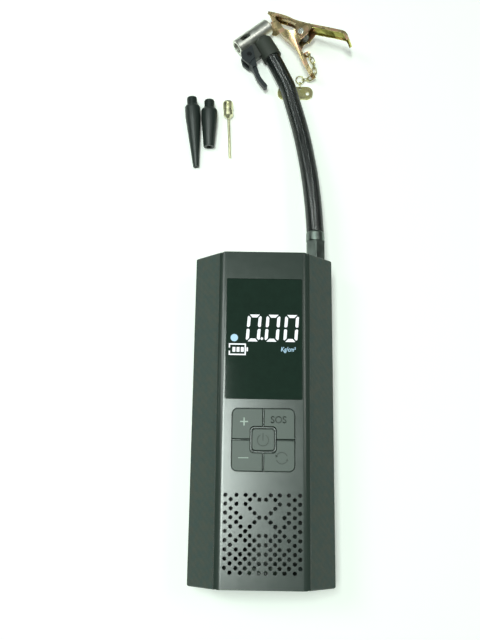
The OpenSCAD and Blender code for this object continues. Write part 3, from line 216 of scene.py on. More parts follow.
def arc_stroke(shape, centre, radius, start, end, stroke, low, high, steps=28):
    """A curved stroke between two angles in degrees, as a plate."""
    turn = [math.radians(start + (end - start) * k / steps) for k in range(steps + 1)]
    rim = [(centre[0] + (radius + stroke / 2) * math.cos(a), centre[1] + (radius + stroke / 2) * math.sin(a))
           for a in turn]
    core = [(centre[0] + (radius - stroke / 2) * math.cos(a), centre[1] + (radius - stroke / 2) * math.sin(a))
            for a in reversed(turn)]
    plate(shape, rim + core, low, high)


def disc(shape, x, y, radius, corners, low, high):
    """A round plate."""
    turn = [k * math.tau / corners for k in range(corners)]
    plate(shape, [(x + radius * math.cos(a), y + radius * math.sin(a)) for a in turn], low, high)


def rounded_outline(half_x, half_y, radius, steps=6):
    """Corners of a rounded rectangle in millimetres."""
    return [(sx * (half_x - radius) + radius * math.cos(a), sy * (half_y - radius) + radius * math.sin(a))
            for sx, sy, first in ((1, 1, 0), (-1, 1, 90), (-1, -1, 180), (1, -1, 270))
            for a in (math.radians(first + 90 * k / steps) for k in range(steps + 1))]


def band(shape, rim, core, low, high):
    """A closed band between two outlines of as many corners, in millimetres."""
    loops = []
    for outline in (rim, core):
        corners = [shape.verts.new((x * MM, y * MM, low * MM)) for x, y in outline]
        loops += [shape.edges.new((a, b)) for a, b in zip(corners, corners[1:] + corners[:1])]
    faces = bmesh.ops.bridge_loops(shape, edges=loops)["faces"]
    made = bmesh.ops.extrude_face_region(shape, geom=faces)["geom"]
    top = [v for v in made if isinstance(v, bmesh.types.BMVert)]
    bmesh.ops.translate(shape, verts=top, vec=(0, 0, (high - low) * MM))
    bmesh.ops.recalc_face_normals(shape, faces=shape.faces)


def smooth_path(points, steps):
    """A smooth run of points through the given ones, evenly spread."""
    ends = [points[0] * 2 - points[1], *points, points[-1] * 2 - points[-2]]
    fine = []
    for a, b, c, d in zip(ends, ends[1:], ends[2:], ends[3:]):
        for i in range(24):
            t = i / 24
            fine.append(0.5 * ((2 * b) + (c - a) * t + (2 * a - 5 * b + 4 * c - d) * t * t
                               + (3 * b - a - 3 * c + d) * t ** 3))
    fine.append(points[-1])
    reach = [0.0]
    for a, b in zip(fine, fine[1:]):
        reach.append(reach[-1] + (b - a).length)
    path, k = [], 0
    for i in range(steps + 1):
        goal = reach[-1] * i / steps
        while k < len(fine) - 2 and reach[k + 1] < goal:
            k += 1
        share = (goal - reach[k]) / (reach[k + 1] - reach[k])
        path.append(fine[k].lerp(fine[k + 1], min(max(share, 0), 1)))
    return path, reach[-1]


def rounded_forms(rows, segments):
    """Solids of the frame with their edges rounded: each row gives node, finish, body, slot and radius in mm."""
    for node, finish_name, body, slot, radius in rows:
        shape = solid_copy(node)
        round_edges(shape, radius * MM, segments=segments)
        piece(node + "_form", shape, finishes()[finish_name], body, (node,))


def bent_wire(name, run, radius, sides=3):
    """A mesh of round wire, capped at both ends, along a run of points."""
    curve = bpy.data.curves.new(name, "CURVE")
    curve.dimensions = "3D"
    curve.bevel_depth = radius
    curve.bevel_resolution = sides
    curve.use_fill_caps = True
    spline = curve.splines.new("POLY")
    spline.points.add(len(run) - 1)
    for point, co in zip(spline.points, run):
        point.co = (*co, 1)
    return flattened(name, curve)


def flattened(name, data):
    """The mesh of a curve or of text, which are then removed."""
    holder = bpy.data.objects.new(name + "_line", data)
    bpy.context.scene.collection.objects.link(holder)
    graph = bpy.context.evaluated_depsgraph_get()
    mesh = bpy.data.meshes.new_from_object(holder.evaluated_get(graph))
    bpy.data.objects.remove(holder)
    return mesh


def lettering(text, place, width, height, depth, weight=0.0, slant=0.0):
    """The mesh of a word, fitted to a width and a height in millimetres, and extruded."""
    curve = bpy.data.curves.new("word", "FONT")
    curve.body = text
    curve.align_x = "LEFT"
    curve.resolution_u = 3
    curve.offset = weight
    curve.shear = slant
    mesh = flattened("word", curve)
    shape = bmesh.new()
    shape.from_mesh(mesh)
    bpy.data.meshes.remove(mesh)
    bmesh.ops.remove_doubles(shape, verts=shape.verts, dist=1e-6)
    low = Vector([min(v.co[k] for v in shape.verts) for k in range(3)])
    high = Vector([max(v.co[k] for v in shape.verts) for k in range(3)])
    size = high - low
    made = bmesh.ops.extrude_face_region(shape, geom=list(shape.faces))["geom"]
    top = [v for v in made if isinstance(v, bmesh.types.BMVert)]
    for v in shape.verts:
        v.co = Vector(((v.co.x - low.x) / size.x * width * MM, (v.co.y - low.y) / size.y * height * MM, 0))
    for v in top:
        v.co.z = depth * MM
    bmesh.ops.recalc_face_normals(shape, faces=shape.faces)
    bmesh.ops.transform(shape, matrix=place, verts=shape.verts)
    return shape


def carved(name, body_shape, cutter_shape):
    """The first shape with the second cut out of it, as a mesh: the floors of the cuts take the second finish."""
    for face in cutter_shape.faces:
        face.material_index = 1 if face.normal.z < -0.9 else 0
    holders = []
    for part, shape in (("body", body_shape), ("cutter", cutter_shape)):
        mesh = bpy.data.meshes.new(f"{name}_{part}")
        shape.to_mesh(mesh)
        shape.free()
        for slot in range(2):
            mesh.materials.append(None)
        holder = bpy.data.objects.new(f"{name}_{part}", mesh)
        bpy.context.scene.collection.objects.link(holder)
        holders.append(holder)
    cut = holders[0].modifiers.new("engrave", "BOOLEAN")
    cut.object = holders[1]
    cut.operation = "DIFFERENCE"
    cut.solver = "EXACT"
    graph = bpy.context.evaluated_depsgraph_get()
    mesh = bpy.data.meshes.new_from_object(holders[0].evaluated_get(graph))
    for holder in holders:
        spare = holder.data
        bpy.data.objects.remove(holder)
        bpy.data.meshes.remove(spare)
    mesh.name = name
    return mesh


def weave_map(shape):
    """Lays the weave flat on each face, in metres: across the housing and along it, or up it on the end walls."""
    layer = shape.loops.layers.uv.new("weave")
    for face in shape.faces:
        n = face.normal
        if abs(n.y) > 0.7:
            across, along = Vector((1, 0, 0)), Vector((0, 0, 1))
        else:
            across = Vector((n.z, 0, -n.x)).normalized()
            along = Vector((0, 1, 0))
        for loop in face.loops:
            loop[layer].uv = (loop.vert.co.dot(across), loop.vert.co.dot(along))


# ---------- finishes ----------

def add(tree, kind, values=None, wires=None, **settings):
    """Adds a node, sets its settings and sockets, and wires other sockets into it."""
    node = tree.nodes.new("ShaderNode" + kind)
    for name, value in settings.items():
        setattr(node, name, value)
    for name, value in (values or {}).items():
        node.inputs[name].default_value = value
    for name, socket in (wires or {}).items():
        tree.links.new(socket, node.inputs[name])
    return node


def finish(name, colour, roughness, **sockets):
    """A material with its shader and the object coordinates that its patterns read."""
    made = bpy.data.materials.new(name)
    made.use_nodes = True
    tree = made.node_tree
    shader = tree.nodes["Principled BSDF"]
    shader.inputs["Base Color"].default_value = colour
    shader.inputs["Roughness"].default_value = roughness
    for key, value in sockets.items():
        shader.inputs[key.replace("_", " ").title()].default_value = value
    made.diffuse_color = colour
    return made, tree, shader, add(tree, "TexCoord").outputs["Object"]


def shade(colour, by):
    """A colour made lighter or darker."""
    return tuple(min(c * by, 1) for c in colour[:3]) + (1.0,)


def moulded_weave(look, sizes):
    """ABS moulded against a tool etched with a 2/2 twill: each tow is a low ridge, and half of them are painted a shade
    lighter as a painted sheen.
    """
    made, tree, shader, place = finish("moulded_weave_abs", look.shell, 0.46)
    flat = add(tree, "UVMap", uv_map="weave").outputs["UV"]
    cells = add(tree, "VectorMath", {1: (1 / sizes.tow,) * 3}, {0: flat}, operation="MULTIPLY").outputs[0]
    whole = add(tree, "VectorMath", {}, {0: cells}, operation="FLOOR").outputs[0]
    part = add(tree, "VectorMath", {}, {0: cells}, operation="FRACTION").outputs[0]
    w, p = add(tree, "SeparateXYZ", {}, {0: whole}), add(tree, "SeparateXYZ", {}, {0: part})
    step = add(tree, "Math", {}, {0: w.outputs[0], 1: w.outputs[1]}, operation="ADD").outputs[0]
    turn = add(tree, "Math", {1: 4.0}, {0: step}, operation="FLOORED_MODULO").outputs[0]
    over = add(tree, "Math", {1: 1.5}, {0: turn}, operation="LESS_THAN").outputs[0]
    width = add(tree, "Mix", {}, {0: over, 2: p.outputs[0], 3: p.outputs[1]}, data_type="FLOAT").outputs[0]
    arch = add(tree, "Math", {1: math.pi}, {0: width}, operation="MULTIPLY").outputs[0]
    ridge = add(tree, "Math", {}, {0: arch}, operation="SINE").outputs[0]
    # 4 mm patches, a little bluer or browner, where the melt ran over the etching
    patch = add(tree, "TexNoise", {"Scale": 1 / (4 * MM), "Detail": 3.0, "Roughness": 0.6}, {"Vector": place})
    drift = add(tree, "ValToRGB", {}, {0: patch.outputs[0]})
    stops = drift.color_ramp.elements
    stops[0].position, stops[0].color = 0.36, tuple(c * k for c, k in zip(look.shell, (0.82, 0.97, 1.04, 1)))
    stops[1].position, stops[1].color = 0.64, tuple(c * k for c, k in zip(look.shell, (1.2, 1.04, 0.98, 1)))
    stops.new(0.5).color = look.shell
    # painted sheen: the tows that lie one way are painted 6 % lighter, in place of the light they catch
    light = add(tree, "Mix", {6: (0.94, 0.94, 0.94, 1), 7: (1, 1, 1, 1)}, {0: over}, data_type="RGBA")
    tone = add(tree, "Mix", {0: 1.0}, {6: drift.outputs[0], 7: light.outputs[2]}, data_type="RGBA",
               blend_type="MULTIPLY")
    tree.links.new(tone.outputs[2], shader.inputs["Base Color"])
    bump = add(tree, "Bump", {"Strength": 0.3, "Distance": 0.05 * MM}, {"Height": ridge})
    tree.links.new(bump.outputs[0], shader.inputs["Normal"])
    return made


def satin_abs(look):
    """ABS moulded in a finely eroded tool: satin, with a slow mottle where the melt flowed."""
    made, tree, shader, place = finish("satin_abs", look.panel, 0.24)
    shader.inputs["Specular IOR Level"].default_value = 0.6
    # 5 mm patches of slightly different gloss
    flow = add(tree, "TexNoise", {"Scale": 1 / (5 * MM), "Detail": 5.0, "Roughness": 0.65}, {"Vector": place})
    gloss = add(tree, "MapRange", {"From Min": 0.3, "From Max": 0.7, "To Min": 0.22, "To Max": 0.26},
                {"Value": flow.outputs[0]})
    tree.links.new(gloss.outputs[0], shader.inputs["Roughness"])
    # grain of the eroded tool: 0.1 mm in truth, drawn at 0.7 mm so that it shows
    grain = add(tree, "TexNoise", {"Scale": 1 / (0.7 * MM), "Detail": 3.0, "Roughness": 0.6}, {"Vector": place})
    tone = add(tree, "Mix", {6: shade(look.panel, 0.92), 7: shade(look.panel, 1.08)}, {0: grain.outputs[0]},
               data_type="RGBA")
    tree.links.new(tone.outputs[2], shader.inputs["Base Color"])
    bump = add(tree, "Bump", {"Strength": 0.3, "Distance": 0.012 * MM}, {"Height": grain.outputs[0]})
    tree.links.new(bump.outputs[0], shader.inputs["Normal"])
    return made


def grained(name, colour, roughness, size, depth=0.03, spread=0.12, **sockets):
    """A moulded, cast or rubbery skin whose grain has the given size in millimetres."""
    made, tree, shader, place = finish(name, colour, roughness, **sockets)
    grain = add(tree, "TexNoise", {"Scale": 1 / (size * MM), "Detail": 3.0}, {"Vector": place})
    tone = add(tree, "Mix", {6: shade(colour, 1 - spread), 7: shade(colour, 1 + spread)}, {0: grain.outputs[0]},
               data_type="RGBA")
    tree.links.new(tone.outputs[2], shader.inputs["Base Color"])
    bump = add(tree, "Bump", {"Strength": 0.4, "Distance": depth * MM}, {"Height": grain.outputs[0]})
    tree.links.new(bump.outputs[0], shader.inputs["Normal"])
    return made


def plated(name, colour, roughness, size, tint=None, spread=0.06, metallic=1.0):
    """A plated or turned metal: bright, with a slow drift of gloss and, on passivated zinc, of colour."""
    made, tree, shader, place = finish(name, colour, roughness, metallic=metallic)
    drift = add(tree, "TexNoise", {"Scale": 1 / (size * MM), "Detail": 3.0, "Distortion": 0.6}, {"Vector": place})
    tone = add(tree, "ValToRGB", {}, {0: drift.outputs[0]})
    stops = tone.color_ramp.elements
    stops[0].position, stops[0].color = 0.38, shade(colour, 1 - spread)
    stops[1].position, stops[1].color = 0.62, tint or shade(colour, 1 + spread)
    stops.new(0.5).color = colour
    tree.links.new(tone.outputs[0], shader.inputs["Base Color"])
    gloss = add(tree, "MapRange", {"From Min": 0.3, "From Max": 0.7, "To Min": roughness * 0.75,
                                   "To Max": roughness * 1.3}, {"Value": drift.outputs[0]})
    tree.links.new(gloss.outputs[0], shader.inputs["Roughness"])
    return made


def braided_yarn(look):
    """Polyester yarn, twisted from filaments and braided: smooth enough that each hand of yarn throws its own
    thin highlight along the hose; the creases between the yarns are darkened with painted shade."""
    made, tree, shader, _ = finish("braided_polyester", look.braid, 0.11)
    shader.inputs["Specular IOR Level"].default_value = 1.0
    flat = add(tree, "SeparateXYZ", {}, {0: add(tree, "UVMap", uv_map="yarn").outputs["UV"]})
    # filaments, 0.2 mm apart in place of the real 0.02 mm so that they show
    turns = add(tree, "Math", {1: math.tau / (0.2 * MM)}, {0: flat.outputs[0]}, operation="MULTIPLY")
    line = add(tree, "Math", {}, {0: turns.outputs[0]}, operation="SINE")
    line = add(tree, "MapRange", {"From Min": -1.0, "To Min": 0.0}, {"Value": line.outputs[0]})
    tone = add(tree, "Mix", {6: shade(look.braid, 0.7), 7: shade(look.braid, 1.3)}, {0: line.outputs[0]},
               data_type="RGBA")
    # painted shade in the crease at a yarn's two edges, where the yarns meet
    side = add(tree, "Math", {}, {0: flat.outputs[0]}, operation="ABSOLUTE")
    crease = add(tree, "MapRange", {"From Min": 0.28 * MM, "From Max": 0.46 * MM, "To Min": 1.0, "To Max": 0.35},
                 {"Value": side.outputs[0]})
    dark = add(tree, "VectorMath", {}, {0: tone.outputs[2], 1: crease.outputs[0]}, operation="MULTIPLY")
    tree.links.new(dark.outputs[0], shader.inputs["Base Color"])
    return made


def glowing(name, colour, strength):
    """Backlit ink under the window: an even light."""
    made, tree, shader, place = finish(name, shade(colour, 0.2), 0.4)
    shader.inputs["Emission Color"].default_value = colour
    shader.inputs["Emission Strength"].default_value = strength
    # the diffuser's faint unevenness, 1.5 mm across
    patch = add(tree, "TexNoise", {"Scale": 1 / (1.5 * MM), "Detail": 1.0}, {"Vector": place})
    tone = add(tree, "Mix", {6: shade(colour, 0.93), 7: colour}, {0: patch.outputs[0]}, data_type="RGBA")
    tree.links.new(tone.outputs[2], shader.inputs["Emission Color"])
    return made


FINISHES = {}


def finishes():
    """All the finishes by name, made once."""
    if FINISHES:
        return FINISHES
    look, sizes = bpy.context.scene.inflator_colours, bpy.context.scene.inflator_sizes
    FINISHES.update(
        weave=moulded_weave(look, sizes),
        satin=satin_abs(look),
        braid=braided_yarn(look),
        digits=glowing("white_backlight", tuple(look.digits), 1.0),
        signs=glowing("blue_backlight", tuple(look.signs), 0.9),
        # acrylic, smoked and polished: nearly black, with a clear reflection
        window=grained("smoked_acrylic", srgb("#1a2d24"), 0.05, 4, depth=0.002, spread=0.2),
        # silicone rubber, moulded: dull, with a fine matt grain
        keys=grained("silicone_rubber", tuple(look.keys), 0.48, 0.5),
        # the same rubber on the floors of the engravings: painted light on the plus and the minus, painted shade on the
        # others
        mark=grained("uncoated_silicone", srgb("#a9b9ae"), 0.5, 0.5, spread=0.05),
        sunk=grained("shaded_silicone", srgb("#353f39"), 0.55, 0.5, spread=0.05),
        # EPDM rubber, moulded
        rubber=grained("epdm_rubber", srgb("#373c35"), 0.6, 0.8),
        # glass-filled nylon, moulded: black with a soft shine
        nylon=grained("black_nylon", srgb("#222c28"), 0.4, 0.7),
        # zinc casting, enamelled black: smooth, with the soft ripple of a sprayed coat
        lever=grained("enamelled_lever", srgb("#2a3032"), 0.45, 1.2),
        # zinc alloy, die cast and tumbled
        cast=grained("die_cast_zinc", srgb("#5d605c"), 0.45, 1.0, metallic=0.85),
        # brass, nickel plated and polished
        nickel=plated("nickel_plated_brass", srgb("#e6e7de"), 0.4, 9),
        # the needle's plating is thinner, and its brass shows through
        thin_nickel=plated("thin_nickel_brass", srgb("#e4e2bc"), 0.36, 4),
        # steel, zinc plated and passivated yellow: drifts from straw to rose
        zinc=plated("yellow_zinc_steel", tuple(look.clip), 0.27, 7, srgb("#c09a80")),
        # steel wire, bent and then plated in a barrel: dulled by tumbling, drifting from straw to olive
        chain=plated("yellow_zinc_wire", srgb("#d6d2a2"), 0.36, 3, srgb("#bbb77e")),
        # the same plating inside the upper jaw's handle, painted lighter and yellower: a painted reflection of the pale
        # floor
        zinc_inside=plated("dull_zinc_steel", srgb("#dedc7c"), 0.42, 6, srgb("#c2be5e"), metallic=0.45),
        # steel rivet, zinc plated and left clear: bright
        rivet=plated("bright_zinc_rivet", srgb("#d3d8cf"), 0.24, 3),
        # spring wire, drawn and tempered: grey, with a drawn shine
        spring=plated("spring_steel", srgb("#8f928e"), 0.3, 4),
        # brass, turned and black nickel plated: dark grey, with a soft shine
        black_nickel=plated("black_nickel_brass", srgb("#7b857f"), 0.4, 6),
        # steel parts inside, zinc plated: grey and even
        steel=plated("zinc_plated_steel", srgb("#9ea2a2"), 0.3, 6),
        # motor can and pump frame, made black as painted shade, so that nothing bright shows through the vents
        blackened=grained("black_painted_metal", srgb("#1b1e1f"), 0.5, 1.0),
        # brass, turned: yellow, with a fine shine
        brass=plated("turned_brass", srgb("#b99a5a"), 0.3, 5),
        # aluminium, die cast: pale grey, with a slightly rough skin
        aluminium=grained("cast_aluminium", srgb("#a3a6a9"), 0.45, 1.2, metallic=0.9),
        # glass-fibre board under green solder mask
        board=grained("solder_mask_board", srgb("#1d4a2c"), 0.35, 0.6),
        # steel screws and the lever's pin, blackened in oxide: nearly black, with an oiled shine
        screw=plated("black_oxide_steel", srgb("#3b3d3e"), 0.4, 2),
        # ABS, moulded black and never seen in full light; on the walls of the vent holes it is painted shade
        dark=grained("black_abs", srgb("#17191a"), 0.5, 0.6),
        # acetal, moulded: white and slightly waxy
        white=grained("white_acetal", srgb("#dcdfdc"), 0.45, 1.0, spread=0.04),
        # PVC sleeve, shrunk round the cells: dark blue, with a soft shine
        wrap=grained("pvc_cell_wrap", srgb("#1d242b"), 0.5, 3.0, spread=0.06),
        # silicone tube, extruded: milky
        silicone=grained("clear_silicone", srgb("#d9dcdc"), 0.35, 2.0, spread=0.04),
        # polycarbonate, moulded and frosted: pale, as the lamp behind it is off
        clear=grained("frosted_polycarbonate", srgb("#c9d0d0"), 0.2, 1.0, spread=0.04),
    )
    return FINISHES


# ---------- operators: one for each piece or group of like pieces ----------

class INFLATOR_OT_stage(Operator):
    """Makes the camera, the pale floor, the soft lights and the world"""
    bl_idname = "inflator.stage"
    bl_label = "Stage"

    def execute(self, context):
        scene = context.scene
        scene.view_settings.view_transform = "Standard"
        a, t, r = (math.radians(v) for v in (YAW, PITCH, ROLL))
        ahead = Vector((math.sin(a) * math.sin(t), math.cos(a) * math.sin(t), -math.cos(t)))
        up = Vector((math.sin(a) * math.cos(t), math.cos(a) * math.cos(t), math.sin(t)))
        right = ahead.cross(up)
        right, up = right * math.cos(r) - up * math.sin(r), up * math.cos(r) + right * math.sin(r)
        lens = bpy.data.cameras.new("camera")
        lens.sensor_width = SENSOR
        lens.lens = FOCAL * SENSOR / FRAME_HEIGHT
        lens.clip_start, lens.clip_end = 0.01, 10
        camera = bpy.data.objects.new("camera", lens)
        camera.matrix_world = Matrix.Translation(Vector(CAMERA_PLACE) * MM) @ Matrix(
            (right, up, -ahead)).transposed().to_4x4()
        scene.collection.objects.link(camera)
        scene.camera = camera

        shape = bmesh.new()
        bmesh.ops.create_grid(shape, x_segments=4, y_segments=4, size=FLOOR_REACH)
        mesh = bpy.data.meshes.new("floor")
        shape.to_mesh(mesh)
        shape.free()
        floor = bpy.data.objects.new("floor", mesh)
        floor.data.transform(Matrix.Translation((0, 0, -FLOOR_DROP)))
        scene.collection.objects.link(floor)
        # white paper, matt, and lit by itself where the camera, a mirror or glass sees it, so that it looks white
        # at a plain level of light
        paper, tree, shader, _ = finish("white_paper", srgb("#f1f5f0"), 0.9)
        seen = add(tree, "LightPath")
        both = add(tree, "Math", {}, {0: seen.outputs["Is Camera Ray"], 1: seen.outputs["Is Glossy Ray"]},
                   operation="MAXIMUM")
        all_three = add(tree, "Math", {}, {0: both.outputs[0], 1: seen.outputs["Is Transmission Ray"]},
                        operation="MAXIMUM")
        strength = add(tree, "Math", {1: FLOOR_GLOW}, {0: all_three.outputs[0]}, operation="MULTIPLY")
        shader.inputs["Emission Color"].default_value = srgb("#f4fbf2")
        tree.links.new(strength.outputs[0], shader.inputs["Emission Strength"])
        shader.inputs["Specular IOR Level"].default_value = 0.2
        floor.data.materials.append(paper)

        world = bpy.data.worlds.new("studio")
        world.use_nodes = True
        sky = world.node_tree
        # the room: pale overhead and darker towards the horizon, which gives metal its dark side
        way = add(sky, "SeparateXYZ", {}, {0: add(sky, "TexCoord").outputs["Generated"]})
        rise = add(sky, "ValToRGB", {}, {0: way.outputs[2]})
        stops = rise.color_ramp.elements
        stops[0].position, stops[0].color = 0.0, srgb("#9aa19b")
        stops[1].position, stops[1].color = 0.9, srgb("#dfe6e2")
        sky.links.new(rise.outputs[0], sky.nodes["Background"].inputs[0])
        # the camera itself sees a pale backdrop past the floor's edge
        paper_wall = add(sky, "Background", {"Color": srgb("#f4f8f3"), "Strength": 1.0})
        seen = add(sky, "LightPath")
        either = add(sky, "MixShader", {}, {0: seen.outputs["Is Camera Ray"],
                                            1: sky.nodes["Background"].outputs[0], 2: paper_wall.outputs[0]})
        sky.links.new(either.outputs[0], sky.nodes["World Output"].inputs["Surface"])
        sky.nodes["Background"].inputs[1].default_value = ROOM_LIGHT
        scene.world = world

        def lamp(name, place, aim, size, power, colour):
            """A soft box that looks at a point. One that looks straight down stays unturned."""
            light = bpy.data.lights.new(name, "AREA")
            light.shape = "RECTANGLE"
            light.size, light.size_y = size
            light.energy = power
            light.color = srgb(colour)[:3]
            holder = bpy.data.objects.new(name, light)
            way = Vector(aim) - Vector(place)
            turned = way.to_track_quat("-Z", "Y").to_matrix().to_4x4() if way.xy.length > HAIR else Matrix()
            holder.matrix_world = Matrix.Translation(place) @ turned
            scene.collection.objects.link(holder)

        # the main light, overhead and a little left, which gives the satin panel its sheen
        lamp("soft_box", (-0.205, 0.05, 1.5), (-0.205, 0.05, 0), (0.26, 0.5), 15.5, "#f2fff8")
        # lights the left wing and the left side of the hose
        lamp("left_box", (-0.85, 0.38, 1.35), (0, 0.0, 0.05), (0.3, 0.6), 4.2, "#f7fffb")
        # thins the shadow on the right
        lamp("fill_card", (0.72, 0.3, 1.5), (0, 0.1, 0), (0.5, 0.35), 2.2, "#fffffa")
        return {"FINISHED"}


class INFLATOR_OT_hose(Operator):
    """Makes the braided hose, which lies free from its ferrule to the chuck's elbow"""
    bl_idname = "inflator.hose"
    bl_label = "Hose"

    def execute(self, context):
        low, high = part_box("hose_ferrule")
        start = Vector(((low.x + high.x) / 2, high.y, (low.z + high.z) / 2))
        route = [start] + [Vector(p) * MM for p in (
            (34.8, 150, 24.5), (32.8, 172, 22), (30, 194, 18), (26.3, 216, 13.5),
            (21.4, 237, 10.4), (17.6, 252, 8.7), (12.9, 263, 8.2))] + [CHUCK @ ELBOW_END]
        # 38 even steps, of about 4 mm each
        path, length = smooth_path(route, 38)
        sizes = context.scene.inflator_sizes
        radius = sizes.hose_width / 2
        places = []
        for k, point in enumerate(path):
            way = (path[min(k + 1, len(path) - 1)] - path[max(k - 1, 0)]).normalized()
            if k == 0:
                way = Vector((0, 1, 0))
            if k == len(path) - 1:
                way = (CHUCK.to_3x3() @ (ELBOW_START - ELBOW_END)).normalized()
            side = way.cross(Vector((0, 0, 1))).normalized()
            places.append(Matrix.Translation(point) @ Matrix((side, side.cross(way) * -1, way)).transposed().to_4x4())
        # the rubber tube inside the braid
        shape = bmesh.new()
        ring = bmesh.ops.create_circle(shape, cap_ends=True, radius=radius - TUBE_DEPTH, segments=36,
                                       matrix=places[0])["verts"]
        edges = list({e for v in ring for e in v.link_edges})
        for before, after in zip(places, places[1:]):
            made = bmesh.ops.extrude_edge_only(shape, edges=edges)["geom"]
            verts = [g for g in made if isinstance(g, bmesh.types.BMVert)]
            edges = [g for g in made if isinstance(g, bmesh.types.BMEdge) and all(v in verts for v in g.verts)]
            bmesh.ops.transform(shape, matrix=after @ before.inverted(), verts=verts)
        bmesh.ops.contextual_create(shape, geom=edges)
        bmesh.ops.recalc_face_normals(shape, faces=shape.faces)
        layer = shape.loops.layers.uv.new("yarn")

        # two hands of yarns, two over and two under: each is a strip three corners wide, wound round the tube
        lean = math.radians(BRAID_ANGLE)
        pitch = math.pi * sizes.hose_width * math.cos(lean) / sizes.carriers
        rows = round(length * 2 * math.sin(lean) / pitch)
        for hand in (1, -1):
            for k in range(sizes.carriers):
                strip = bmesh.ops.create_grid(shape, x_segments=2, y_segments=rows, size=1.0)["verts"]
                lane = {}
                for v in strip:
                    across, share = v.co.x * YARN_HALF * pitch, (v.co.y + 1) / 2
                    along = share * length
                    lane[v] = (across, along)
                    # turn round the hose of this yarn, and the number of the yarn of the other hand that it meets
                    turn = ((k + 0.5) * pitch / math.cos(lean) - hand * along * math.tan(lean)) / radius
                    other = (turn * radius * math.cos(lean) - hand * along * math.sin(lean)) / pitch - 0.5
                    weave = hand * math.sin(math.pi * (hand * (k - other) + 0.5 * hand) / 2)
                    rise = radius - YARN_DIP * (1 - weave) - (YARN_DROP if abs(v.co.x) > 0.5 else 0)
                    turn += across * math.cos(lean) / radius
                    spot = min(max(along + across * hand * math.sin(lean), 0), length) / length * (len(places) - 1)
                    low = min(int(spot), len(places) - 2)
                    local = Vector((math.cos(turn) * rise, math.sin(turn) * rise, 0))
                    v.co = (places[low] @ local).lerp(places[low + 1] @ local, spot - low)
                faces = list({f for v in strip for f in v.link_faces})
                # the strip is turned over where its middle face looks at the tube
                shape.normal_update()
                probe = faces[len(faces) // 2]
                spot = lane[probe.verts[0]][1] / length * (len(places) - 1)
                centre = places[min(int(spot + 0.5), len(path) - 1)].translation
                if probe.normal.dot(probe.calc_center_median() - centre) < 0:
                    bmesh.ops.reverse_faces(shape, faces=faces)
                for face in faces:
                    for loop in face.loops:
                        loop[layer].uv = lane[loop.vert]
        hose = piece("braided_hose", shape, finishes()["braid"], "inflator", ("hose",), sharp=80)
        return {"FINISHED"}


class INFLATOR_OT_housing(Operator):
    """Makes the shells with their moulded weave, the front panel with its vents, and the hose's nut and ferrule"""
    bl_idname = "inflator.housing"
    bl_label = "Housing"

    def execute(self, context):
        f, sizes = finishes(), context.scene.inflator_sizes
        end_wall, side_wall, wing, long_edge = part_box("back_shell")[1].y - HAIR, 45.9 * MM, 29 * MM, 150 * MM

        def outer(edge):
            """Whether an edge is on an end wall, a side or the back, or runs along a wing."""
            m = middle(edge)
            along = (edge.verts[0].co - edge.verts[1].co).length > long_edge
            return abs(m.y) > end_wall or abs(m.x) > side_wall or m.z < HAIR or (abs(m.x) > wing and along)

        for node in ("back_shell", "front_shell"):
            shape = solid_copy(node)
            round_edges(shape, sizes.shell_edge, outer)
            bmesh.ops.triangulate(shape, faces=[x for x in shape.faces if len(x.verts) > 4])
            weave_map(shape)
            piece(node + "_skin", shape, f["weave"], "inflator", (node,))

        # the panel: its grille, up to Y = -45 mm, keeps its sharp edges, and the rest is made whole and rounded
        grille, front, end, openings = -45 * MM, 49.5 * MM, 105.9 * MM, 26 * MM

        def upper(edge):
            """Whether an edge of the front face is at the panel's end or round one of its openings."""
            m = middle(edge)
            return (min(v.co.z for v in edge.verts) > front and m.y > grille
                    and (abs(m.y) > end or abs(m.x) < openings))

        shape = solid_copy("front_panel", lambda co: co.y > grille)
        round_edges(shape, sizes.panel_edge, upper)
        # the vent holes: widened from 2.2 to 2.55 mm, and their walls made black as painted shade
        vent_x, vent_low, vent_high, wider = 24.2 * MM, -99 * MM, -49 * MM, 1.16
        walls = {x for x in shape.faces if abs(x.normal.z) < 0.1 and abs(x.calc_center_median().x) < vent_x
                 and vent_low < x.calc_center_median().y < vent_high}
        while walls:
            hole, fresh = set(), {walls.pop()}
            while fresh:
                hole |= fresh
                fresh = {n for x in fresh for e in x.edges for n in e.link_faces if n in walls}
                walls -= fresh
            rim = {v for x in hole for v in x.verts}
            centre = sum((v.co for v in rim), Vector()) / len(rim)
            bmesh.ops.scale(shape, vec=(wider, wider, 1), space=Matrix.Translation(-centre), verts=list(rim))
            # painted shade: the walls take the black plastic
            for x in hole:
                x.material_index = 1
        # the pierced front face is shaded flat: smooth shading would smudge it round its holes
        skin = piece("front_panel_skin", shape, (f["satin"], f["dark"]), "inflator", ("front_panel",))
        for face in skin.data.polygons:
            face.use_smooth = not (face.center.y < grille and abs(face.normal.z) > 0.999)
        rounded_forms([(node, "black_nickel", "inflator", "black_metal", 0.4)
                       for node in ("hose_union", "hose_ferrule")], 3)
        return {"FINISHED"}


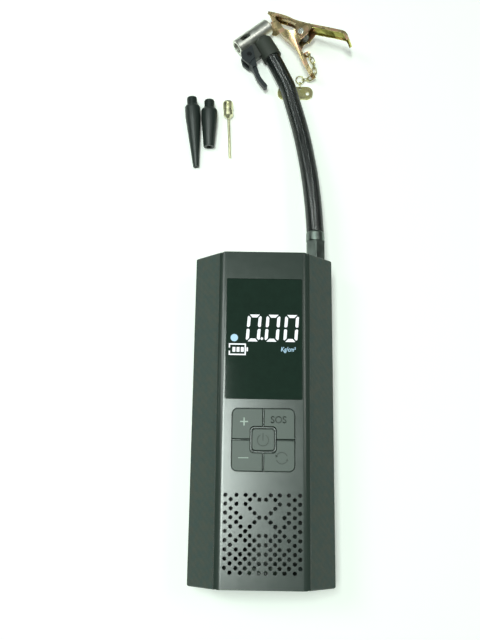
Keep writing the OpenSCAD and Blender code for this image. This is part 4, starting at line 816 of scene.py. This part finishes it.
class INFLATOR_OT_display(Operator):
    """Makes the display window and its lit digits, battery, dot and unit"""
    bl_idname = "inflator.display"
    bl_label = "Display"

    def execute(self, context):
        f = finishes()
        shape = solid_copy("display_lens")
        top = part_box("display_lens")[1].z
        round_edges(shape, 0.25 * MM, lambda e: min(v.co.z for v in e.verts) > top - HAIR, segments=2)
        piece("display_window", shape, f["window"], "inflator", ("display_lens",))
        # all that is lit is 0.03 mm thick and lies on the window; from here on in millimetres
        face, ink = top / MM, top / MM + 0.03
        # a digit: its upper left stroke and its top stroke, which the other four strokes mirror, and its slant
        wide, tall, slant = 9, 18.2, 0.075
        upper = [(0, 10.1), (0, 16.4), (0.75, 17.1), (1.95, 15.8), (1.95, 10.5), (1.35, 9.75), (0.4, 9.75)]
        cap = [(1.25, 18), (7.75, 18), (6.0, 16.05), (3.0, 16.05)]
        shape = bmesh.new()
        for x0 in (-11.9, 0.22, 12.28):
            for run in (upper, [(wide - x, y) for x, y in upper], [(x, tall - y) for x, y in upper],
                        [(wide - x, tall - y) for x, y in upper], cap, [(x, tall - y) for x, y in cap]):
                plate(shape, [(x0 + x + slant * y, 45.25 + y) for x, y in run], face, ink)
        disc(shape, -1.45, 47.4, 0.85, 16, face, ink)
        piece("lit_digits", shape, f["digits"], "inflator")
        shape = bmesh.new()
        disc(shape, -19.17, 47.75, 2.4, 32, face, ink)
        piece("lit_dot", shape, f["signs"], "inflator")
        # the battery: its outline with a gap on the left, its tip, and three full cells
        left, right, low, high, t = -22.6, -11.6, 36.4, 44.0, 0.85
        shape = bmesh.new()
        for x0, x1, y0, y1 in ((left, right, low, low + t), (left, right, high - t, high),
                               (left, left + t, low + t, 39.2), (left, left + t, 41.2, high - t),
                               (right - t, right, low + t, high - t), (right + 0.35, right + 1.3, 38.9, 41.5)):
            bar_stroke(shape, x0, x1, y0, y1, face, ink)
        for x in (-20.2, -17.55, -14.85):
            bar_stroke(shape, x, x + 1.85, 38.55, 41.6, face, ink)
        piece("lit_battery", shape, f["digits"], "inflator")
        word = lettering("Kg/cm²", Matrix.Translation((10.9 * MM, 38.2 * MM, top)), 9.5, 3.9, 0.03, 0.014, 0.15)
        piece("lit_unit", word, f["signs"], "inflator")
        return {"FINISHED"}


class INFLATOR_OT_keys(Operator):
    """Makes the five rubber keys with their engraved symbols, and the panel's rib between them"""
    bl_idname = "inflator.keys"
    bl_label = "Keys"

    def execute(self, context):
        f, sizes = finishes(), context.scene.inflator_sizes
        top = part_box("key_power")[1].z
        # the symbols' cutters reach from the engraving's floor to 0.5 mm above the keys, in millimetres
        full, low, high = sizes.stroke / MM, (top - sizes.engraving) / MM, top / MM + 0.5
        for name, body in (("plus", "plus_key"), ("sos", "sos_key"), ("minus", "minus_key"),
                           ("mode", "mode_key"), ("power", "power_key")):
            node = "key_" + name
            shape = solid_copy(node)
            round_edges(shape, sizes.key_edge, lambda e: min(v.co.z for v in e.verts) > top - HAIR)
            sign = bmesh.new()
            # the floor of each engraving is painted: light on the plus and the minus, shade on the other symbols
            floor = f["mark"] if name in ("plus", "minus") else f["sunk"]
            # the plus is cut at full width, and the other symbols finer
            t = full if name == "plus" else full * 0.65
            if name == "plus":
                x, y, arm = -12.1, -5.85, 2.5
                w = t / 2
                plate(sign, [(x - arm, y - w), (x - w, y - w), (x - w, y - arm), (x + w, y - arm), (x + w, y - w),
                             (x + arm, y - w), (x + arm, y + w), (x + w, y + w), (x + w, y + arm), (x - w, y + arm),
                             (x - w, y + w), (x - arm, y + w)], low, high)
            elif name == "minus":
                bar_stroke(sign, -15.5, -9.2, -28.2 - t / 2, -28.2 + t / 2, low, high)
            elif name == "sos":
                sign.free()
                sign = lettering("SOS", Matrix.Translation((4.6 * MM, -6.7 * MM, low * MM)), 9.9, 4.5, high - low, 0.02)
            elif name == "mode":
                for start in (20, 200):
                    # an arc and its arrowhead, each cut by itself so that neither lies in the other
                    arc_stroke(sign, (11.63, -28.14), 3.5, start, start + 128, t, low, high)
                    a = math.radians(start + 132)
                    out, on = Vector((math.cos(a), math.sin(a))), Vector((-math.sin(a), math.cos(a)))
                    base = Vector((11.63, -28.14)) + out * 3.5
                    plate(sign, [tuple(q) for q in (base + out * 1.0, base + on * 1.5, base - out * 1.0)], low, high)
            else:
                arc_stroke(sign, (-0.17, -17.3), 3.5, 118, 422, t, low, high, 48)
                bar_stroke(sign, -0.17 - t / 2, -0.17 + t / 2, -17.6, -12.9, low, high)
            mesh = carved(node + "_cap", shape, sign)
            mesh_piece(node + "_cap", mesh, (f["keys"], floor), body, (node,), sharp=28.0)
        # thin rib of the panel between the keys, and its ring round the power key
        shape = bmesh.new()
        # half the ring's width, the middle of the keypad along Y, and the rib's foot and top, in millimetres
        half, pad_y, foot, crest = 7.9, -17, 47.8, 49.85
        rim = [(x, y + pad_y) for x, y in rounded_outline(half, half, 2.3)]
        core = [(x, y + pad_y) for x, y in rounded_outline(half - 0.62, half - 0.75, 1.8)]
        for (x0, x1), (y0, y1) in (((-0.12, 0.28), (half - 0.3, 19.7)), ((-0.12, 0.28), (-19.7, 0.3 - half)),
                                   ((half - 0.3, 19.95), (-0.32, 0.08)), ((-19.95, 0.3 - half), (-0.32, 0.08))):
            bar_stroke(shape, x0, x1, y0 + pad_y, y1 + pad_y, foot, crest)
        band(shape, rim, core, foot, crest)
        round_edges(shape, 0.1 * MM, lambda e: min(v.co.z for v in e.verts) > (crest - 0.05) * MM, segments=2)
        piece("key_rib", shape, f["satin"], "inflator")
        return {"FINISHED"}


class INFLATOR_OT_chuck(Operator):
    """Makes the chuck: rubber elbow, nickel barrel, bracket, pin and lever"""
    bl_idname = "inflator.chuck"
    bl_label = "Chuck"

    def execute(self, context):
        rounded_forms((("chuck_barrel", "nickel", "inflator", "nickel", 0.35),
                       ("lever_bracket", "cast", "inflator", "cast", 0.4),
                       ("chuck_lever", "lever", "lever", "lever", 0.5),
                       ("lever_pin", "screw", "inflator", "steel", 0.2),
                       ("chuck_elbow", "rubber", "inflator", "rubber", 1.1)), 4)
        return {"FINISHED"}


class INFLATOR_OT_clip(Operator):
    """Makes the spring clip: two jaws of bent sheet, their rivet and the torsion spring"""
    bl_idname = "inflator.clip"
    bl_label = "Clip"

    def execute(self, context):
        f, home = finishes(), CLIP.inverted()
        for node, body in (("clip_upper_jaw", "clip_upper"), ("clip_lower_jaw", "inflator")):
            shape = solid_copy(node)
            round_edges(shape, 0.25 * MM, segments=2)
            # the inside of the upper jaw's handle, past the rivet and facing the lower jaw, takes the painted
            # reflection
            for face in shape.faces:
                spot, way = home @ face.calc_center_median(), home.to_3x3() @ face.normal
                face.material_index = int(node == "clip_upper_jaw" and spot.x > 9 * MM and way.y < -0.35)
            piece(node + "_form", shape, (f["zinc"], f["zinc_inside"]), body, (node,), sharp=40)
        rounded_forms([("clip_rivet", "rivet", "inflator", "steel", 0.3)], 3)
        # the spring: 39 eighths of a turn of 1 mm wire, 1.7 mm from turn to turn, and a leg at each end
        radius, rise, eighths, begin = 3.7, 1.7, 39, 195
        coil = [Vector((radius * math.cos(a), radius * math.sin(a), rise * (i - eighths / 2) / 8)) * MM
                for i, a in ((k / 4, math.radians(begin - k / 4 * 45)) for k in range(4 * eighths + 1))]
        first = (coil[0] - coil[1]).normalized()
        last = (coil[-1] - coil[-2]).normalized()
        run = [coil[0] + first * 11.6 * MM, *coil, coil[-1] + last * 3.5 * MM]
        mesh = bent_wire("clip_spring_form", [CLIP @ p for p in run], 0.5 * MM)
        mesh_piece("clip_spring_form", mesh, f["spring"], "inflator", ("clip_spring",), sharp=60)
        return {"FINISHED"}


class INFLATOR_OT_chain(Operator):
    """Makes the stamped tag, and gives the chain's wire links their finish"""
    bl_idname = "inflator.chain"
    bl_label = "Chain and tag"

    def execute(self, context):
        rounded_forms([("chain_tag", "chain", "inflator", "zinc", 0.3)], 2)
        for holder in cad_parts["clip_chain"].material_slots:
            holder.material = finishes()["chain"]
        return {"FINISHED"}


class INFLATOR_OT_nozzles(Operator):
    """Makes the two plastic nozzles and the ball needle"""
    bl_idname = "inflator.nozzles"
    bl_label = "Nozzles"

    def execute(self, context):
        rounded_forms((("long_nozzle", "nylon", "long_nozzle_piece", "nozzle", 0.2),
                       ("short_nozzle", "nylon", "short_nozzle_piece", "nozzle", 0.2),
                       ("ball_needle", "thin_nickel", "needle_piece", "nickel", 0.2)), 2)
        return {"FINISHED"}


class INFLATOR_OT_insides(Operator):
    """Gives the solids that stay as they are their own finishes"""
    bl_idname = "inflator.insides"
    bl_label = "Inner pieces"

    def execute(self, context):
        f = finishes()
        for name, nodes in {
            "dark": ("display_module", "cooling_fan", "battery_cradle"),
            "board": ("main_board", "charge_board"),
            "blackened": ("motor_can", "pump_frame"),
            "steel": ("tact_switches", "rotor_shaft", "crank_shaft", "crank_pin", "charge_socket",
                      "cell_tabs", "head_screws", "frame_screws", "motor_screws"),
            "screw": ("board_screws", "housing_screws"),
            "clear": ("lamp_lens",), "white": ("lamp_module", "drive_gear"), "wrap": ("battery_cells",),
            "brass": ("pinion", "crank_bush"), "aluminium": ("cylinder_head", "connecting_rod"),
            "rubber": ("head_gasket", "piston_cup", "chuck_gasket"), "silicone": ("air_tube",),
        }.items():
            for node in nodes:
                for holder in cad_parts[node].material_slots:
                    holder.material = f[name]
        return {"FINISHED"}


# What hangs on the hose, so it is made before the hose, as the order of the steps says
STEPS = ("stage", "chuck", "clip", "chain", "hose", "housing", "display", "keys", "nozzles", "insides")


class INFLATOR_PT_pieces(Panel):
    """Sizes, colours and makers of the inflator's pieces"""
    bl_idname = "INFLATOR_PT_pieces"
    bl_label = "Tire Inflator"
    bl_space_type = "VIEW_3D"
    bl_region_type = "UI"
    bl_category = "Inflator"

    def draw(self, context):
        for group in (context.scene.inflator_sizes, context.scene.inflator_colours):
            box = self.layout.box()
            for name in group.__annotations__:
                box.prop(group, name)
        for step in STEPS:
            self.layout.operator("inflator." + step)


CLASSES = (
    InflatorSizes, InflatorColours, INFLATOR_OT_stage, INFLATOR_OT_hose, INFLATOR_OT_housing, INFLATOR_OT_display,
    INFLATOR_OT_keys, INFLATOR_OT_chuck, INFLATOR_OT_clip, INFLATOR_OT_chain, INFLATOR_OT_nozzles,
    INFLATOR_OT_insides, INFLATOR_PT_pieces,
)


def register():
    for made in CLASSES:
        bpy.utils.register_class(made)
    bpy.types.Scene.inflator_sizes = PointerProperty(type=InflatorSizes)
    bpy.types.Scene.inflator_colours = PointerProperty(type=InflatorColours)


def unregister():
    del bpy.types.Scene.inflator_colours
    del bpy.types.Scene.inflator_sizes
    for made in reversed(CLASSES):
        bpy.utils.unregister_class(made)


def main():
    """Makes every piece."""
    register()
    for step in STEPS:
        getattr(bpy.ops.inflator, step)()


if __name__ == "__main__":
    main()
